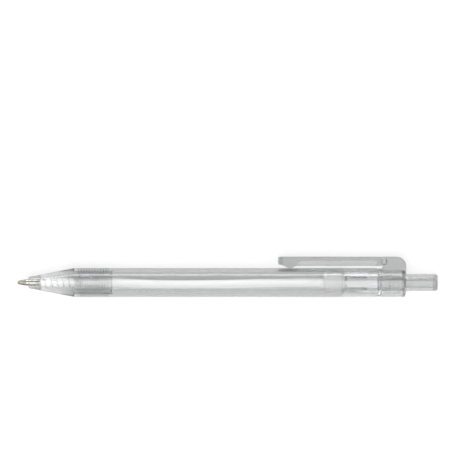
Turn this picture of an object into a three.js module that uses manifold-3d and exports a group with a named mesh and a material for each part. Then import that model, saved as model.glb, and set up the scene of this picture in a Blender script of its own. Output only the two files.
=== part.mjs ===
// A clear retractable ballpoint pen with its point out, as it comes to rest on a table.
//
// Millimetres. Every piece is drawn along +X, with x = 0 at the nozzle's mouth, the button at the far end and the
// clip on the +Z side. The whole pen is then rolled about its axis onto the barrel and the edge of the clip, and
// moved so that the origin lies under its middle.

import * as THREE from "three";
import { mergeVertices } from "three/addons/utils/BufferGeometryUtils.js";
import Module from "manifold-3d";

// Clearances
const BUTT_GAP = 0.05; // between two faces square to the axis that meet
const PRESS_GAP = 0.04; // on the radius, where a piece is pressed into another for good
const SLIDE_GAP = 0.1; // on the radius, where a piece slides or turns in a bore
const FIN_GAP = 0.15; // round the fins and ribs of the click mechanism
const SPRING_GAP = 0.3; // between an end of the spring and its seat
const CLIP_GAP = 0.2; // round the clip's tongue in its socket, and from the clip to the block

// Facets round the casing, round the small pieces, and steps along a rounded edge
const CASING_FACETS = 48;
const SMALL_FACETS = 24;
const EDGE_STEPS = 3;

// Barrel
const BARREL_RADIUS = 5.0;
const BARREL_WALL = 1.1;
const THREADED_WALL = 0.75; // over the nose's spigot
const REAR_WALL = 0.75; // over the sleeve

// Nose cone
const CONE_LENGTH = 15.8; // nozzle's mouth to the parting line
const NOZZLE_RADIUS = 2.0;
const NOZZLE_EDGE = 0.35;
const SPRING_STEP = 4.3; // nozzle's mouth to the step that the spring stands on
const BORE_TAPER = 7.1; // from that step to the full bore
const SPIGOT_LENGTH = 12.85;
const SPIGOT_WALL = 1.05;
const SPIGOT_LEAD = 0.4;

// Refill
const POINT_OUT = 3.9; // the ball's front to the nozzle's mouth
const REFILL_LENGTH = 107.1;
const BALL_RADIUS = 0.5;
const BALL_GAP = 0.04;
const LIP_WALL = 0.1;
const LIP_OVERHANG = 0.16; // how far the lip reaches past the ball's middle
const POINT_NECK_RADIUS = 1.0;
const POINT_RADIUS = 1.15;
const POINT_CONE_LENGTH = 2.1;
const POINT_LENGTH = 10.95;
const POINT_TAIL_LENGTH = 3.0;
const POINT_TAIL_RADIUS = 0.8;
const INK_CHANNEL_RADIUS = 0.35;
const TUBE_RADIUS = 1.45;
const TUBE_WALL = 0.45;
const ADAPTER_COLLAR_LENGTH = 4.5;
const ADAPTER_PLUG_LENGTH = 4.0;
const ADAPTER_STAND = 1.6; // the spring's step to the adapter's shoulder, with the point out
const EAR_X = 27.5; // nozzle's mouth to the front of the tube's ears
const EAR_SPAN = 4.6;
const EAR_LENGTH = 3.2;
const EAR_THICKNESS = 1.5;
const INK_LENGTH = 58;
const TUBE_SAG = 0.7; // how far the tube lies off the axis, away from the clip, where it sags most
const SAG_SHIFT = 0.6; // under 1, this brings the deepest place nearer to the ears
const SAG_STEP = 4; // longest facet along the sagging tube

// Return spring
const WIRE_RADIUS = 0.16;
const SPRING_RADIUS = 1.8; // to the wire's middle
const OPEN_COILS = 5.5;
const OPEN_PITCH = 2.1;
const CLOSE_PITCH = 0.82;
const STEPS_PER_COIL = 8;
const WIRE_SIDES = 5;

// Click mechanism
const TRAVEL = 5.0; // from the writing state back to the retracted state
const TURN_STEP = Math.PI / 4; // the rotor's turn over that travel
const CORE_RADIUS = 3.2; // rotor and plunger without their fins
const FIN_COUNT = 4;
const FIN_WIDTH = 0.6;
const GUIDE_WIDTH = 1.2; // of the plunger's own fins
const CROWN_TEETH = 8;
const CROWN_DEPTH = 0.8;
const CROWN_GAP = 0.15; // between the crests of the rotor and those of the plunger
const ROTOR_LENGTH = 7.3;
const ROTOR_FLANGE = 1.2;
const ROTOR_EDGE = 0.25;
const ROTOR_SOCKET = 1.5; // how deep the tube's end sits in the rotor
const ROTOR_BORE = 1.3;
const PIN_LENGTH = 2.2; // the plunger's pin in the rotor's bore
const HEAD_LENGTH = 7.7;
const NECK_LENGTH = 3.65;
const HEAD_TO_BEAD = 3.4; // rear of the plunger's head to the bead, with the point out
const NECK_RADIUS = 2.25;
const TENON_LENGTH = 6.0; // of the plunger in the button
const STOP_GAP = 0.35; // from the head to the sleeve's shoulder when the point is in
const SLEEVE_WALL = 0.5;
const RIB_LENGTH = 6.9;
const RIB_INSET = 0.15; // from the sleeve's front to the tips of its ribs
const LATCH_GAP = 0.3; // from the rotor's fins to the ribs that they rest on

// Bead and collar
const BEAD_WIDTH = 1.3;
const BEAD_INSET = 0.06; // below the barrel's surface
const COLLAR_LENGTH = 8.6;
const COLLAR_WALL = 0.7;
const COLLAR_END_WALL = 1.3;
const COLLAR_FRONT_EDGE = 0.2;
const COLLAR_DOME = 0.6; // how far the rear face bulges
const SNAP_RINGS = 4;
const SNAP_RING_PITCH = 1.5;
const SNAP_RING_HEIGHT = 0.15;

// Button
const BUTTON_RADIUS = 2.95;
const BUTTON_STAND = 10.9; // collar to the button's end
const BUTTON_EDGE = 1.0;
const BUTTON_WALL = 0.95;
const BUTTON_END_WALL = 1.8;

// Clip
const CLIP_WIDTH = 5.3;
const CLIP_HEIGHT = 8.9; // axis to its outer face
const CLIP_THICKNESS = 3.15;
const CLIP_LENGTH = 36; // block to the clip's tip
const CLIP_EDGE = 0.3;
const CLIP_NOSE_RADIUS = 2.2; // of its tip, seen from above
const PAD_START = 2.9; // from the tip
const PAD_LENGTH = 2.4;
const PAD_GAP = 0.05;
const TIP_RISE = 0.4; // how far the underside rises from the pad to the tip
const TIP_EDGE = 0.7; // rounding of the tip's two corners, seen from the side
const CHANNEL_WIDTH = 2.9;
const CHANNEL_ROOF = 1.3;
const CHANNEL_START = 7; // from the tip
const CHANNEL_STOP = 1.6; // from the block
const BLOCK_LENGTH = 8.2;
const BLOCK_CORNER = 3.3;
const TONGUE_RADIUS = 1.0;
const TONGUE_WIDTH = 3.3;
const TONGUE_DEPTH = 0.5; // block's front to the middle of the tongue's round end
const TONGUE_BELOW = 1.7; // clip's outer face to the tongue's middle

// Radii and heights that fit one piece to another
const BARREL_BORE = BARREL_RADIUS - BARREL_WALL;
const THREADED_BORE = BARREL_RADIUS - THREADED_WALL;
const REAR_BORE = BARREL_RADIUS - REAR_WALL;
const SPIGOT_RADIUS = THREADED_BORE - SLIDE_GAP;
const NOSE_BORE = SPIGOT_RADIUS - SPIGOT_WALL;
const TUBE_BORE = TUBE_RADIUS - TUBE_WALL;
const SLEEVE_RADIUS = REAR_BORE - PRESS_GAP;
const SLEEVE_BORE = SLEEVE_RADIUS - SLEEVE_WALL;
const FIN_RADIUS = SLEEVE_BORE - FIN_GAP;
const RIB_RADIUS = CORE_RADIUS + FIN_GAP;
const BUTTON_BORE = BUTTON_RADIUS - BUTTON_WALL;
const BUTTON_GUIDE = BUTTON_RADIUS + SLIDE_GAP;
const COLLAR_BORE = BARREL_RADIUS - COLLAR_WALL;
const SNAP_RADIUS = COLLAR_BORE - PRESS_GAP;
const CLIP_UNDERSIDE = CLIP_HEIGHT - CLIP_THICKNESS;
const PIVOT_HEIGHT = CLIP_HEIGHT - TONGUE_BELOW;

// The slant of the fins' and ribs' ends, along which the rotor slides as it turns
const FIN_SLANT = (FIN_WIDTH * TRAVEL) / (TURN_STEP * FIN_RADIUS);

// Places along the axis
const BARREL_X = CONE_LENGTH + BUTT_GAP;
const SPIGOT_END = CONE_LENGTH + SPIGOT_LENGTH;
const BALL_X = BALL_RADIUS - POINT_OUT;
const ADAPTER_X = POINT_LENGTH - POINT_TAIL_LENGTH - POINT_OUT;
const TUBE_X = ADAPTER_X + ADAPTER_COLLAR_LENGTH;
const TUBE_END = REFILL_LENGTH - POINT_OUT;
const SOCKET_END = TUBE_END + BUTT_GAP;
const ROTOR_X = SOCKET_END - ROTOR_SOCKET;
const ROTOR_END = ROTOR_X + ROTOR_LENGTH;
const RIB_X = ROTOR_END + LATCH_GAP - FIN_SLANT;
const SLEEVE_X = RIB_X - RIB_INSET;
const HEAD_X = ROTOR_END + CROWN_GAP;
const HEAD_END = HEAD_X + HEAD_LENGTH;
const BUTTON_X = HEAD_END + NECK_LENGTH;
const BARREL_END = HEAD_END + HEAD_TO_BEAD;
const COLLAR_X = BARREL_END + BEAD_WIDTH;
const COLLAR_END = COLLAR_X + COLLAR_LENGTH;
const BUTTON_END = COLLAR_END + BUTTON_STAND;
const SLEEVE_END = COLLAR_END - COLLAR_END_WALL - BUTT_GAP;
const SHOULDER_X = HEAD_END + TRAVEL + STOP_GAP;
const BLOCK_X = COLLAR_END - BLOCK_LENGTH;
const CLIP_X = BLOCK_X - CLIP_LENGTH;
const PIVOT_X = BLOCK_X + TONGUE_DEPTH;

const wasm = await Module();
wasm.setup();

/** A closed three.js geometry as a solid that can be joined and cut. */
function solid(geometry) {
  const bare = geometry.clone();
  bare.deleteAttribute("normal");
  bare.deleteAttribute("uv");
  const merged = mergeVertices(bare, 1e-4);
  const vertProperties = merged.attributes.position.array;
  const triVerts = new Uint32Array(merged.index.array);
  return new wasm.Manifold(new wasm.Mesh({ numProp: 3, vertProperties, triVerts }));
}

/** A solid's surface as a three.js geometry. */
function surface(body) {
  const mesh = body.getMesh();
  const geometry = new THREE.BufferGeometry();
  geometry.setAttribute("position", new THREE.BufferAttribute(mesh.vertProperties, 3));
  geometry.setIndex(new THREE.BufferAttribute(mesh.triVerts, 1));
  geometry.computeVertexNormals();
  return geometry;
}

/** A profile of [x, radius] points turned about the X axis: along the outside to +X, and back along the inside. */
function turned(profile, facets = CASING_FACETS) {
  const points = profile.map(([x, radius]) => new THREE.Vector2(radius, x));
  return new THREE.LatheGeometry(points, facets).rotateZ(-Math.PI / 2);
}

/** A turned piece whose profile closes on itself. */
function ring(profile, facets) {
  return solid(turned([...profile, profile[0]], facets));
}

/** A round bar, as a cutter or a stem. */
function bar(from, to, radius, facets) {
  return solid(turned([[from, 0], [from, radius], [to, radius], [to, 0]], facets));
}

/** The [x, radius] points of an arc about a middle, between two angles in degrees from +X towards the outside. */
function arc(middleX, middleRadius, size, fromDegrees, toDegrees, steps = EDGE_STEPS) {
  return Array.from({ length: steps + 1 }, (_, i) => {
    const angle = THREE.MathUtils.degToRad(fromDegrees + ((toDegrees - fromDegrees) * i) / steps);
    return [middleX + size * Math.cos(angle), middleRadius + size * Math.sin(angle)];
  });
}

/** An outline in x and z, made a plate of the given width along Y, with its side edges taken off by edge. */
function plate(outline, width, edge = 0) {
  const geometry = new THREE.ExtrudeGeometry(outline, {
    depth: width - 2 * edge,
    bevelEnabled: edge > 0,
    bevelThickness: edge,
    bevelSize: edge,
    bevelOffset: -edge,
    bevelSegments: 1,
    curveSegments: 8,
  });
  geometry.translate(0, 0, edge - width / 2);
  return solid(geometry.rotateX(Math.PI / 2));
}

/** An outline in x and y, raised from one z to another. */
function slab(outline, from, to) {
  const geometry = new THREE.ExtrudeGeometry(outline, {
    depth: to - from,
    bevelEnabled: false,
    curveSegments: 8,
  });
  return solid(geometry.translate(0, 0, from));
}

/** A rectangle from its low corner to its high corner. */
function rectangle(lowX, lowY, highX, highY) {
  const outline = new THREE.Shape();
  outline.moveTo(lowX, lowY);
  outline.lineTo(highX, lowY);
  outline.lineTo(highX, highY);
  outline.lineTo(lowX, highY);
  return outline;
}

/**
 * A flat-sided fin that stands off the axis, at an angle from +Y towards +Z. A front slant starts it later, and a rear
 * slant ends it earlier, on the sides that pass each other when its owner turns and slides back.
 */
function fin({ from, to, inner, outer, width, angle, frontSlant = 0, rearSlant = 0 }) {
  const outline = new THREE.Shape();
  outline.moveTo(from, width / 2);
  outline.lineTo(to - rearSlant, width / 2);
  outline.lineTo(to, -width / 2);
  outline.lineTo(from + frontSlant, -width / 2);
  const geometry = new THREE.ExtrudeGeometry(outline, { depth: outer - inner, bevelEnabled: false });
  return solid(geometry.translate(0, 0, inner).rotateX(angle - Math.PI / 2));
}

/** A body with evenly spaced fins joined to it. */
function withFins(body, firstAngle, shape) {
  let joined = body;
  for (let i = 0; i < FIN_COUNT; i += 1) {
    const angle = firstAngle + (i * 2 * Math.PI) / FIN_COUNT;
    joined = joined.add(fin({ ...shape, angle }));
  }
  return joined;
}

/** A turned piece whose end face at crestX is cut into V teeth that fall away towards fall, 1 or -1 along X. */
function crowned(profile, crestX, fall) {
  const geometry = turned(profile, CROWN_TEETH * 6);
  const position = geometry.attributes.position;
  for (let i = 0; i < position.count; i += 1) {
    if (Math.abs(position.getX(i) - crestX) < 1e-4) {
      const angle = Math.atan2(position.getZ(i), position.getY(i));
      const phase = THREE.MathUtils.euclideanModulo((angle * CROWN_TEETH) / (2 * Math.PI), 1);
      position.setX(i, crestX + fall * CROWN_DEPTH * Math.abs(2 * phase - 1));
    }
  }
  return solid(geometry);
}

// Cone with its nozzle, the step that the spring stands on, and the spigot that screws into the barrel.
function noseCone() {
  const springChamber = SPRING_RADIUS + WIRE_RADIUS + SLIDE_GAP;
  const nozzleBore = POINT_RADIUS + SLIDE_GAP;
  return ring([
    [0, nozzleBore],
    ...arc(NOZZLE_EDGE, NOZZLE_RADIUS - NOZZLE_EDGE, NOZZLE_EDGE, 180, 100),
    [CONE_LENGTH, BARREL_RADIUS],
    [CONE_LENGTH, SPIGOT_RADIUS],
    [SPIGOT_END - SPIGOT_LEAD, SPIGOT_RADIUS],
    [SPIGOT_END, SPIGOT_RADIUS - SPIGOT_LEAD],
    [SPIGOT_END, NOSE_BORE],
    [SPRING_STEP + BORE_TAPER, NOSE_BORE],
    [SPRING_STEP, springChamber],
    [SPRING_STEP, nozzleBore],
  ]);
}

// Clear tube, bored out at the front for the spigot and at the rear for the sleeve.
function barrel() {
  return ring([
    [BARREL_X, THREADED_BORE],
    [BARREL_X, BARREL_RADIUS],
    [BARREL_END, BARREL_RADIUS],
    [BARREL_END, REAR_BORE],
    [SLEEVE_X - BUTT_GAP, REAR_BORE],
    [SLEEVE_X - BUTT_GAP, BARREL_BORE],
    [SPIGOT_END + BUTT_GAP, BARREL_BORE],
    [SPIGOT_END + BUTT_GAP, THREADED_BORE],
  ]);
}

// The half-round rings that hold the collar on the sleeve, as [x, radius] points.
function snapRings(firstX, rootRadius) {
  const rings = Array.from({ length: SNAP_RINGS }, (_, i) =>
    arc(firstX + i * SNAP_RING_PITCH, rootRadius, SNAP_RING_HEIGHT, 180, 0, 4),
  );
  return rings.flat();
}

// Insert that guides the rotor and plunger. Its bead shows between barrel and collar, and the collar snaps on behind.
function camSleeve() {
  const spigotRadius = SNAP_RADIUS - SNAP_RING_HEIGHT;
  const beadX = BARREL_END + BUTT_GAP;
  const beadSize = (COLLAR_X - beadX) / 2;
  const body = ring([
    [SLEEVE_X, SLEEVE_BORE],
    [SLEEVE_X, SLEEVE_RADIUS],
    [beadX, SLEEVE_RADIUS],
    ...arc(beadX + beadSize, BARREL_RADIUS - BEAD_INSET - beadSize, beadSize, 180, 0, 6),
    [COLLAR_X, spigotRadius],
    ...snapRings(COLLAR_X + SNAP_RING_PITCH, spigotRadius),
    [SLEEVE_END, spigotRadius],
    [SLEEVE_END, BUTTON_GUIDE],
    [SHOULDER_X, BUTTON_GUIDE],
    [SHOULDER_X, SLEEVE_BORE],
  ]);
  return withFins(body, TURN_STEP, {
    from: RIB_X,
    to: RIB_X + RIB_LENGTH,
    inner: RIB_RADIUS,
    outer: SLEEVE_BORE + SLEEVE_WALL / 2,
    width: FIN_WIDTH,
    frontSlant: FIN_SLANT,
  });
}

// Side view of the block that holds the clip.
function blockOutline() {
  const bottom = COLLAR_BORE - COLLAR_WALL;
  const cornerHeight = CLIP_HEIGHT - BLOCK_CORNER;
  const outline = new THREE.Shape();
  outline.moveTo(BLOCK_X, bottom);
  outline.lineTo(COLLAR_END, bottom);
  outline.lineTo(COLLAR_END, cornerHeight);
  outline.absarc(COLLAR_END - BLOCK_CORNER, cornerHeight, BLOCK_CORNER, 0, Math.PI / 2, false);
  outline.lineTo(BLOCK_X, CLIP_HEIGHT);
  return outline;
}

// Side view of the clip's tongue, or with a larger radius of its socket: a strip with a round end.
function tongueOutline(frontX, radius) {
  const outline = new THREE.Shape();
  outline.moveTo(frontX, PIVOT_HEIGHT - radius);
  outline.lineTo(PIVOT_X, PIVOT_HEIGHT - radius);
  outline.absarc(PIVOT_X, PIVOT_HEIGHT, radius, -Math.PI / 2, Math.PI / 2, false);
  outline.lineTo(frontX, PIVOT_HEIGHT + radius);
  return outline;
}

// Ring with a domed rear face, moulded in one with the block that the clip's tongue sits in.
function collar() {
  const front = COLLAR_X + BUTT_GAP;
  const edge = COLLAR_FRONT_EDGE;
  const body = solid(
    turned([
      [front, 0],
      ...arc(front + edge, BARREL_RADIUS - edge, edge, 180, 90),
      [COLLAR_END - COLLAR_DOME, BARREL_RADIUS],
      [COLLAR_END - COLLAR_DOME / 4, (BARREL_RADIUS + BUTTON_GUIDE) / 2],
      [COLLAR_END, BUTTON_GUIDE],
      [COLLAR_END, 0],
    ]),
  );
  const socket = plate(tongueOutline(CLIP_X, TONGUE_RADIUS + CLIP_GAP), TONGUE_WIDTH + 2 * CLIP_GAP);
  return body
    .add(plate(blockOutline(), CLIP_WIDTH, CLIP_EDGE))
    .subtract(bar(BARREL_X, COLLAR_END - COLLAR_END_WALL, COLLAR_BORE))
    .subtract(bar(BARREL_X, BUTTON_END, BUTTON_GUIDE))
    .subtract(socket);
}

// Side view of the clip's arm: a flat top, a blunt tip with rounded corners, and the pad that touches the barrel.
function armOutline() {
  const rear = BLOCK_X - CLIP_GAP;
  const padBottom = BARREL_RADIUS + PAD_GAP;
  const padX = CLIP_X + PAD_START;
  const padEnd = padX + PAD_LENGTH;
  const run = PAD_LENGTH / 4;
  const tipX = CLIP_X + TIP_EDGE;
  const tipBottom = CLIP_UNDERSIDE + TIP_RISE;
  const outline = new THREE.Shape();
  outline.moveTo(rear, CLIP_UNDERSIDE);
  outline.lineTo(rear, CLIP_HEIGHT);
  outline.lineTo(tipX, CLIP_HEIGHT);
  outline.absarc(tipX, CLIP_HEIGHT - TIP_EDGE, TIP_EDGE, Math.PI / 2, Math.PI, false);
  outline.absarc(tipX, tipBottom + TIP_EDGE, TIP_EDGE, Math.PI, 1.5 * Math.PI, false);
  outline.lineTo(padX - run, CLIP_UNDERSIDE);
  outline.quadraticCurveTo(padX, padBottom, padX + run, padBottom);
  outline.lineTo(padEnd - run, padBottom);
  outline.quadraticCurveTo(padEnd, padBottom, padEnd + run, CLIP_UNDERSIDE);
  return outline;
}

// Top view of the clip's arm: straight sides and a rounded tip.
function armPlan() {
  const half = CLIP_WIDTH / 2;
  const radius = CLIP_NOSE_RADIUS;
  const outline = new THREE.Shape();
  outline.moveTo(BLOCK_X, -half);
  outline.lineTo(BLOCK_X, half);
  outline.lineTo(CLIP_X + radius, half);
  outline.absarc(CLIP_X + radius, half - radius, radius, Math.PI / 2, Math.PI, false);
  outline.absarc(CLIP_X + radius, radius - half, radius, Math.PI, 1.5 * Math.PI, false);
  return outline;
}

// Clip: an arm with a channel that is open towards the barrel, a pad near its tip and a tongue in the block.
function clip() {
  const half = CHANNEL_WIDTH / 2;
  const channelEnd = BLOCK_X - CHANNEL_STOP;
  const arm = plate(armOutline(), CLIP_WIDTH, CLIP_EDGE).intersect(slab(armPlan(), 0, 2 * CLIP_HEIGHT));
  const channel = slab(
    rectangle(CLIP_X + CHANNEL_START, -half, channelEnd, half),
    0,
    CLIP_HEIGHT - CHANNEL_ROOF,
  );
  return arm.subtract(channel).add(plate(tongueOutline(channelEnd, TONGUE_RADIUS), TONGUE_WIDTH));
}

// Button: a clear cap, open at the front for the plunger's tenon.
function pushButton() {
  const floor = BUTTON_END - BUTTON_END_WALL;
  return solid(
    turned(
      [
        [floor, 0],
        [floor, BUTTON_BORE],
        [BUTTON_X, BUTTON_BORE],
        [BUTTON_X, BUTTON_RADIUS],
        ...arc(BUTTON_END - BUTTON_EDGE, BUTTON_RADIUS - BUTTON_EDGE, BUTTON_EDGE, 90, 0),
        [BUTTON_END, 0],
      ],
      CASING_FACETS,
    ),
  );
}

// Plunger: a pin and crown against the rotor, fins that run between the sleeve's ribs, a neck and a tenon.
function plunger() {
  const pinRadius = ROTOR_BORE - SLIDE_GAP;
  const tenonRadius = BUTTON_BORE - PRESS_GAP;
  const body = crowned(
    [
      [HEAD_X - PIN_LENGTH, 0],
      [HEAD_X - PIN_LENGTH, pinRadius],
      [HEAD_X, pinRadius],
      [HEAD_X, CORE_RADIUS],
      [HEAD_END, CORE_RADIUS],
      [HEAD_END, NECK_RADIUS],
      [BUTTON_X - BUTT_GAP, NECK_RADIUS],
      [BUTTON_X - BUTT_GAP, tenonRadius],
      [BUTTON_X + TENON_LENGTH, tenonRadius],
      [BUTTON_X + TENON_LENGTH, 0],
    ],
    HEAD_X,
    1,
  );
  return withFins(body, 0, {
    from: HEAD_X + CROWN_DEPTH + FIN_GAP,
    to: HEAD_END,
    inner: NECK_RADIUS,
    outer: FIN_RADIUS,
    width: GUIDE_WIDTH,
  });
}

// Rotor: the refill's tube sits in its front, its rear face has the teeth that the plunger turns it by, and its fins
// rest on the sleeve's ribs while the point is out.
function rotor() {
  const flangeEnd = ROTOR_X + ROTOR_FLANGE;
  const socketRadius = TUBE_RADIUS + SLIDE_GAP;
  const profile = [
    [ROTOR_X, socketRadius],
    ...arc(ROTOR_X + ROTOR_EDGE, FIN_RADIUS - ROTOR_EDGE, ROTOR_EDGE, 180, 90),
    [flangeEnd, FIN_RADIUS],
    [flangeEnd, CORE_RADIUS],
    [ROTOR_END, CORE_RADIUS],
    [ROTOR_END, ROTOR_BORE],
    [SOCKET_END, ROTOR_BORE],
    [SOCKET_END, socketRadius],
  ];
  const body = crowned([...profile, profile[0]], ROTOR_END, -1);
  return withFins(body, TURN_STEP, {
    from: ROTOR_X + ROTOR_EDGE,
    to: ROTOR_END,
    inner: CORE_RADIUS - FIN_WIDTH,
    outer: FIN_RADIUS,
    width: FIN_WIDTH,
    rearSlant: FIN_SLANT,
  });
}

// Metal point: a cone whose lip holds the ball, a shank that passes the nozzle, a tail in the adapter, and a channel.
function point() {
  const seat = BALL_RADIUS + BALL_GAP;
  const channelAngle = Math.asin(INK_CHANNEL_RADIUS / seat);
  const lipAngle = Math.acos(-LIP_OVERHANG / seat);
  const lipX = BALL_X - LIP_OVERHANG;
  const neckX = lipX + POINT_CONE_LENGTH;
  const tailEnd = ADAPTER_X + POINT_TAIL_LENGTH;
  const toDegrees = THREE.MathUtils.radToDeg;
  return ring(
    [
      [lipX, seat * Math.sin(lipAngle) + LIP_WALL],
      [neckX, POINT_NECK_RADIUS],
      [neckX + POINT_RADIUS - POINT_NECK_RADIUS, POINT_RADIUS],
      [ADAPTER_X - BUTT_GAP, POINT_RADIUS],
      [ADAPTER_X - BUTT_GAP, POINT_TAIL_RADIUS],
      [tailEnd, POINT_TAIL_RADIUS],
      [tailEnd, INK_CHANNEL_RADIUS],
      ...arc(BALL_X, 0, seat, toDegrees(channelAngle), toDegrees(lipAngle), 6),
    ],
    SMALL_FACETS,
  );
}

// Ball that rolls in the point's lip.
function writingBall() {
  return solid(new THREE.SphereGeometry(BALL_RADIUS, 16, 12).translate(BALL_X, 0, 0));
}

// Plug that joins the point to the tube, with a channel for the ink and a neck that passes the nozzle with the point.
function tipAdapter() {
  const shoulderX = SPRING_STEP + ADAPTER_STAND;
  const tailBore = POINT_TAIL_RADIUS + PRESS_GAP;
  const tailBoreEnd = ADAPTER_X + POINT_TAIL_LENGTH + BUTT_GAP;
  const plugRadius = TUBE_BORE - PRESS_GAP;
  const plugEnd = TUBE_X + ADAPTER_PLUG_LENGTH;
  return ring(
    [
      [ADAPTER_X, tailBore],
      [ADAPTER_X, POINT_RADIUS],
      [shoulderX, POINT_RADIUS],
      [shoulderX, TUBE_RADIUS],
      [TUBE_X - BUTT_GAP, TUBE_RADIUS],
      [TUBE_X - BUTT_GAP, plugRadius],
      [plugEnd, plugRadius],
      [plugEnd, INK_CHANNEL_RADIUS],
      [tailBoreEnd, INK_CHANNEL_RADIUS],
      [tailBoreEnd, tailBore],
    ],
    SMALL_FACETS,
  );
}

/**
 * A straight piece of the refill, bent as the tube lies in the barrel. Between the ears and the rotor it sags by
 * TUBE_SAG times sin squared of pi s^SAG_SHIFT, where s runs from 0 to 1.
 */
function sagging(body) {
  const start = EAR_X + EAR_LENGTH;
  return body.refineToLength(SAG_STEP).warp((corner) => {
    const share = THREE.MathUtils.clamp((corner[0] - start) / (ROTOR_X - start), 0, 1);
    corner[2] -= TUBE_SAG * Math.sin(Math.PI * share ** SAG_SHIFT) ** 2;
  });
}

// Top view of the ears that are pinched out of the tube: square at the front, where the spring pushes on them.
function earOutline() {
  const half = EAR_SPAN / 2;
  const outline = new THREE.Shape();
  outline.moveTo(EAR_X, -half);
  outline.lineTo(EAR_X + EAR_LENGTH / 3, -half);
  outline.lineTo(EAR_X + EAR_LENGTH, -TUBE_BORE);
  outline.lineTo(EAR_X + EAR_LENGTH, TUBE_BORE);
  outline.lineTo(EAR_X + EAR_LENGTH / 3, half);
  outline.lineTo(EAR_X, half);
  return outline;
}

// White tube of ink, open at the rear, with two ears for the spring.
function refillTube() {
  const straight = bar(TUBE_X, TUBE_END, TUBE_RADIUS, SMALL_FACETS)
    .add(slab(earOutline(), -EAR_THICKNESS / 2, EAR_THICKNESS / 2))
    .subtract(bar(ADAPTER_X, ROTOR_END, TUBE_BORE, SMALL_FACETS));
  return sagging(straight);
}

// Ink in the tube, from the adapter's plug.
function inkColumn() {
  const start = TUBE_X + ADAPTER_PLUG_LENGTH + BUTT_GAP;
  return sagging(bar(start, start + INK_LENGTH, TUBE_BORE - PRESS_GAP, SMALL_FACETS));
}

// The spring's wire, from the step in the nose to the tube's ears: points on its middle line.
function springLine() {
  const start = SPRING_STEP + SPRING_GAP + WIRE_RADIUS;
  const end = EAR_X - SPRING_GAP - WIRE_RADIUS;
  const openEnd = start + OPEN_COILS * OPEN_PITCH;
  const coils = OPEN_COILS + (end - openEnd) / CLOSE_PITCH;
  const steps = Math.round(coils * STEPS_PER_COIL);
  return Array.from({ length: steps + 1 }, (_, i) => {
    const turns = (coils * i) / steps;
    const closeTurns = Math.max(turns - OPEN_COILS, 0);
    const x = start + (turns - closeTurns) * OPEN_PITCH + closeTurns * CLOSE_PITCH;
    const angle = turns * 2 * Math.PI;
    return new THREE.Vector3(x, SPRING_RADIUS * Math.cos(angle), SPRING_RADIUS * Math.sin(angle));
  });
}

// The least distance between two coils' surfaces, measured on the points of the middle line.
function leastSpringGap(line) {
  let least = Infinity;
  for (let i = 0; i < line.length; i += 1) {
    for (let j = i + STEPS_PER_COIL / 2; j < line.length; j += 1) {
      least = Math.min(least, line[i].distanceTo(line[j]));
    }
  }
  return least - 2 * WIRE_RADIUS;
}

// Return spring: one wire of a few flat sides, wound open at the front and closer at the rear.
function returnSpring() {
  const line = springLine();
  console.log(`Least gap of the return spring to itself: ${leastSpringGap(line).toFixed(3)} mm`);
  const corners = [];
  const faces = [];
  line.forEach((middle, i) => {
    const outward = new THREE.Vector3(0, middle.y, middle.z).normalize();
    for (let side = 0; side < WIRE_SIDES; side += 1) {
      const angle = (side * 2 * Math.PI) / WIRE_SIDES;
      const corner = middle.clone().addScaledVector(outward, WIRE_RADIUS * Math.cos(angle));
      corner.x += WIRE_RADIUS * Math.sin(angle);
      corners.push(corner.x, corner.y, corner.z);
      if (i > 0) {
        const here = i * WIRE_SIDES + side;
        const next = i * WIRE_SIDES + ((side + 1) % WIRE_SIDES);
        faces.push(here, next, next - WIRE_SIDES);
        faces.push(here, next - WIRE_SIDES, here - WIRE_SIDES);
      }
    }
  });
  const last = (line.length - 1) * WIRE_SIDES;
  for (let side = 1; side < WIRE_SIDES - 1; side += 1) {
    faces.push(0, side, side + 1);
    faces.push(last, last + side + 1, last + side);
  }
  const geometry = new THREE.BufferGeometry();
  geometry.setAttribute("position", new THREE.Float32BufferAttribute(corners, 3));
  geometry.setIndex(faces);
  return solid(geometry);
}

const clearPlastic = { color: 0xe3e6e8, roughness: 0.08, metalness: 0, transparent: true, opacity: 0.35 };
const whitePlastic = { color: 0xf1f1ee, roughness: 0.4, metalness: 0 };
const springSteel = { color: 0xb9bcc0, roughness: 0.25, metalness: 1 };
const nickelSilver = { color: 0xb5a88f, roughness: 0.22, metalness: 1 };
const carbide = { color: 0x85888c, roughness: 0.15, metalness: 1 };
const blackInk = { color: 0x101216, roughness: 0.3, metalness: 0 };

const pieces = [
  ["nose_cone", noseCone(), clearPlastic],
  ["barrel", barrel(), clearPlastic],
  ["cam_sleeve", camSleeve(), clearPlastic],
  ["collar", collar(), clearPlastic],
  ["clip", clip(), clearPlastic],
  ["push_button", pushButton(), clearPlastic],
  ["plunger", plunger(), clearPlastic],
  ["rotor", rotor(), whitePlastic],
  ["return_spring", returnSpring(), springSteel],
  ["refill_tube", refillTube(), whitePlastic],
  ["tip_adapter", tipAdapter(), whitePlastic],
  ["point", point(), nickelSilver],
  ["writing_ball", writingBall(), carbide],
  ["ink_column", inkColumn(), blackInk],
];

const pen = new THREE.Group();
for (const [name, body, finish] of pieces) {
  const mesh = new THREE.Mesh(surface(body), new THREE.MeshStandardMaterial(finish));
  mesh.name = name;
  pen.add(mesh);
}

// The pen rests on its barrel and on the lower edge of the clip, so the clip points out to +Y and a little down.
const edgeHeight = CLIP_HEIGHT - CLIP_EDGE;
const edgeDistance = Math.hypot(edgeHeight, CLIP_WIDTH / 2);
const restTilt = Math.asin(BARREL_RADIUS / edgeDistance) - Math.atan2(CLIP_WIDTH / 2, edgeHeight);
pen.rotation.x = -(Math.PI / 2 + restTilt);

const part = new THREE.Group();
part.add(pen);
part.updateMatrixWorld(true);
const extent = new THREE.Box3().setFromObject(part, true);
const middle = extent.getCenter(new THREE.Vector3());
pen.position.set(-middle.x, -middle.y, -extent.min.z);

export default part;
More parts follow.
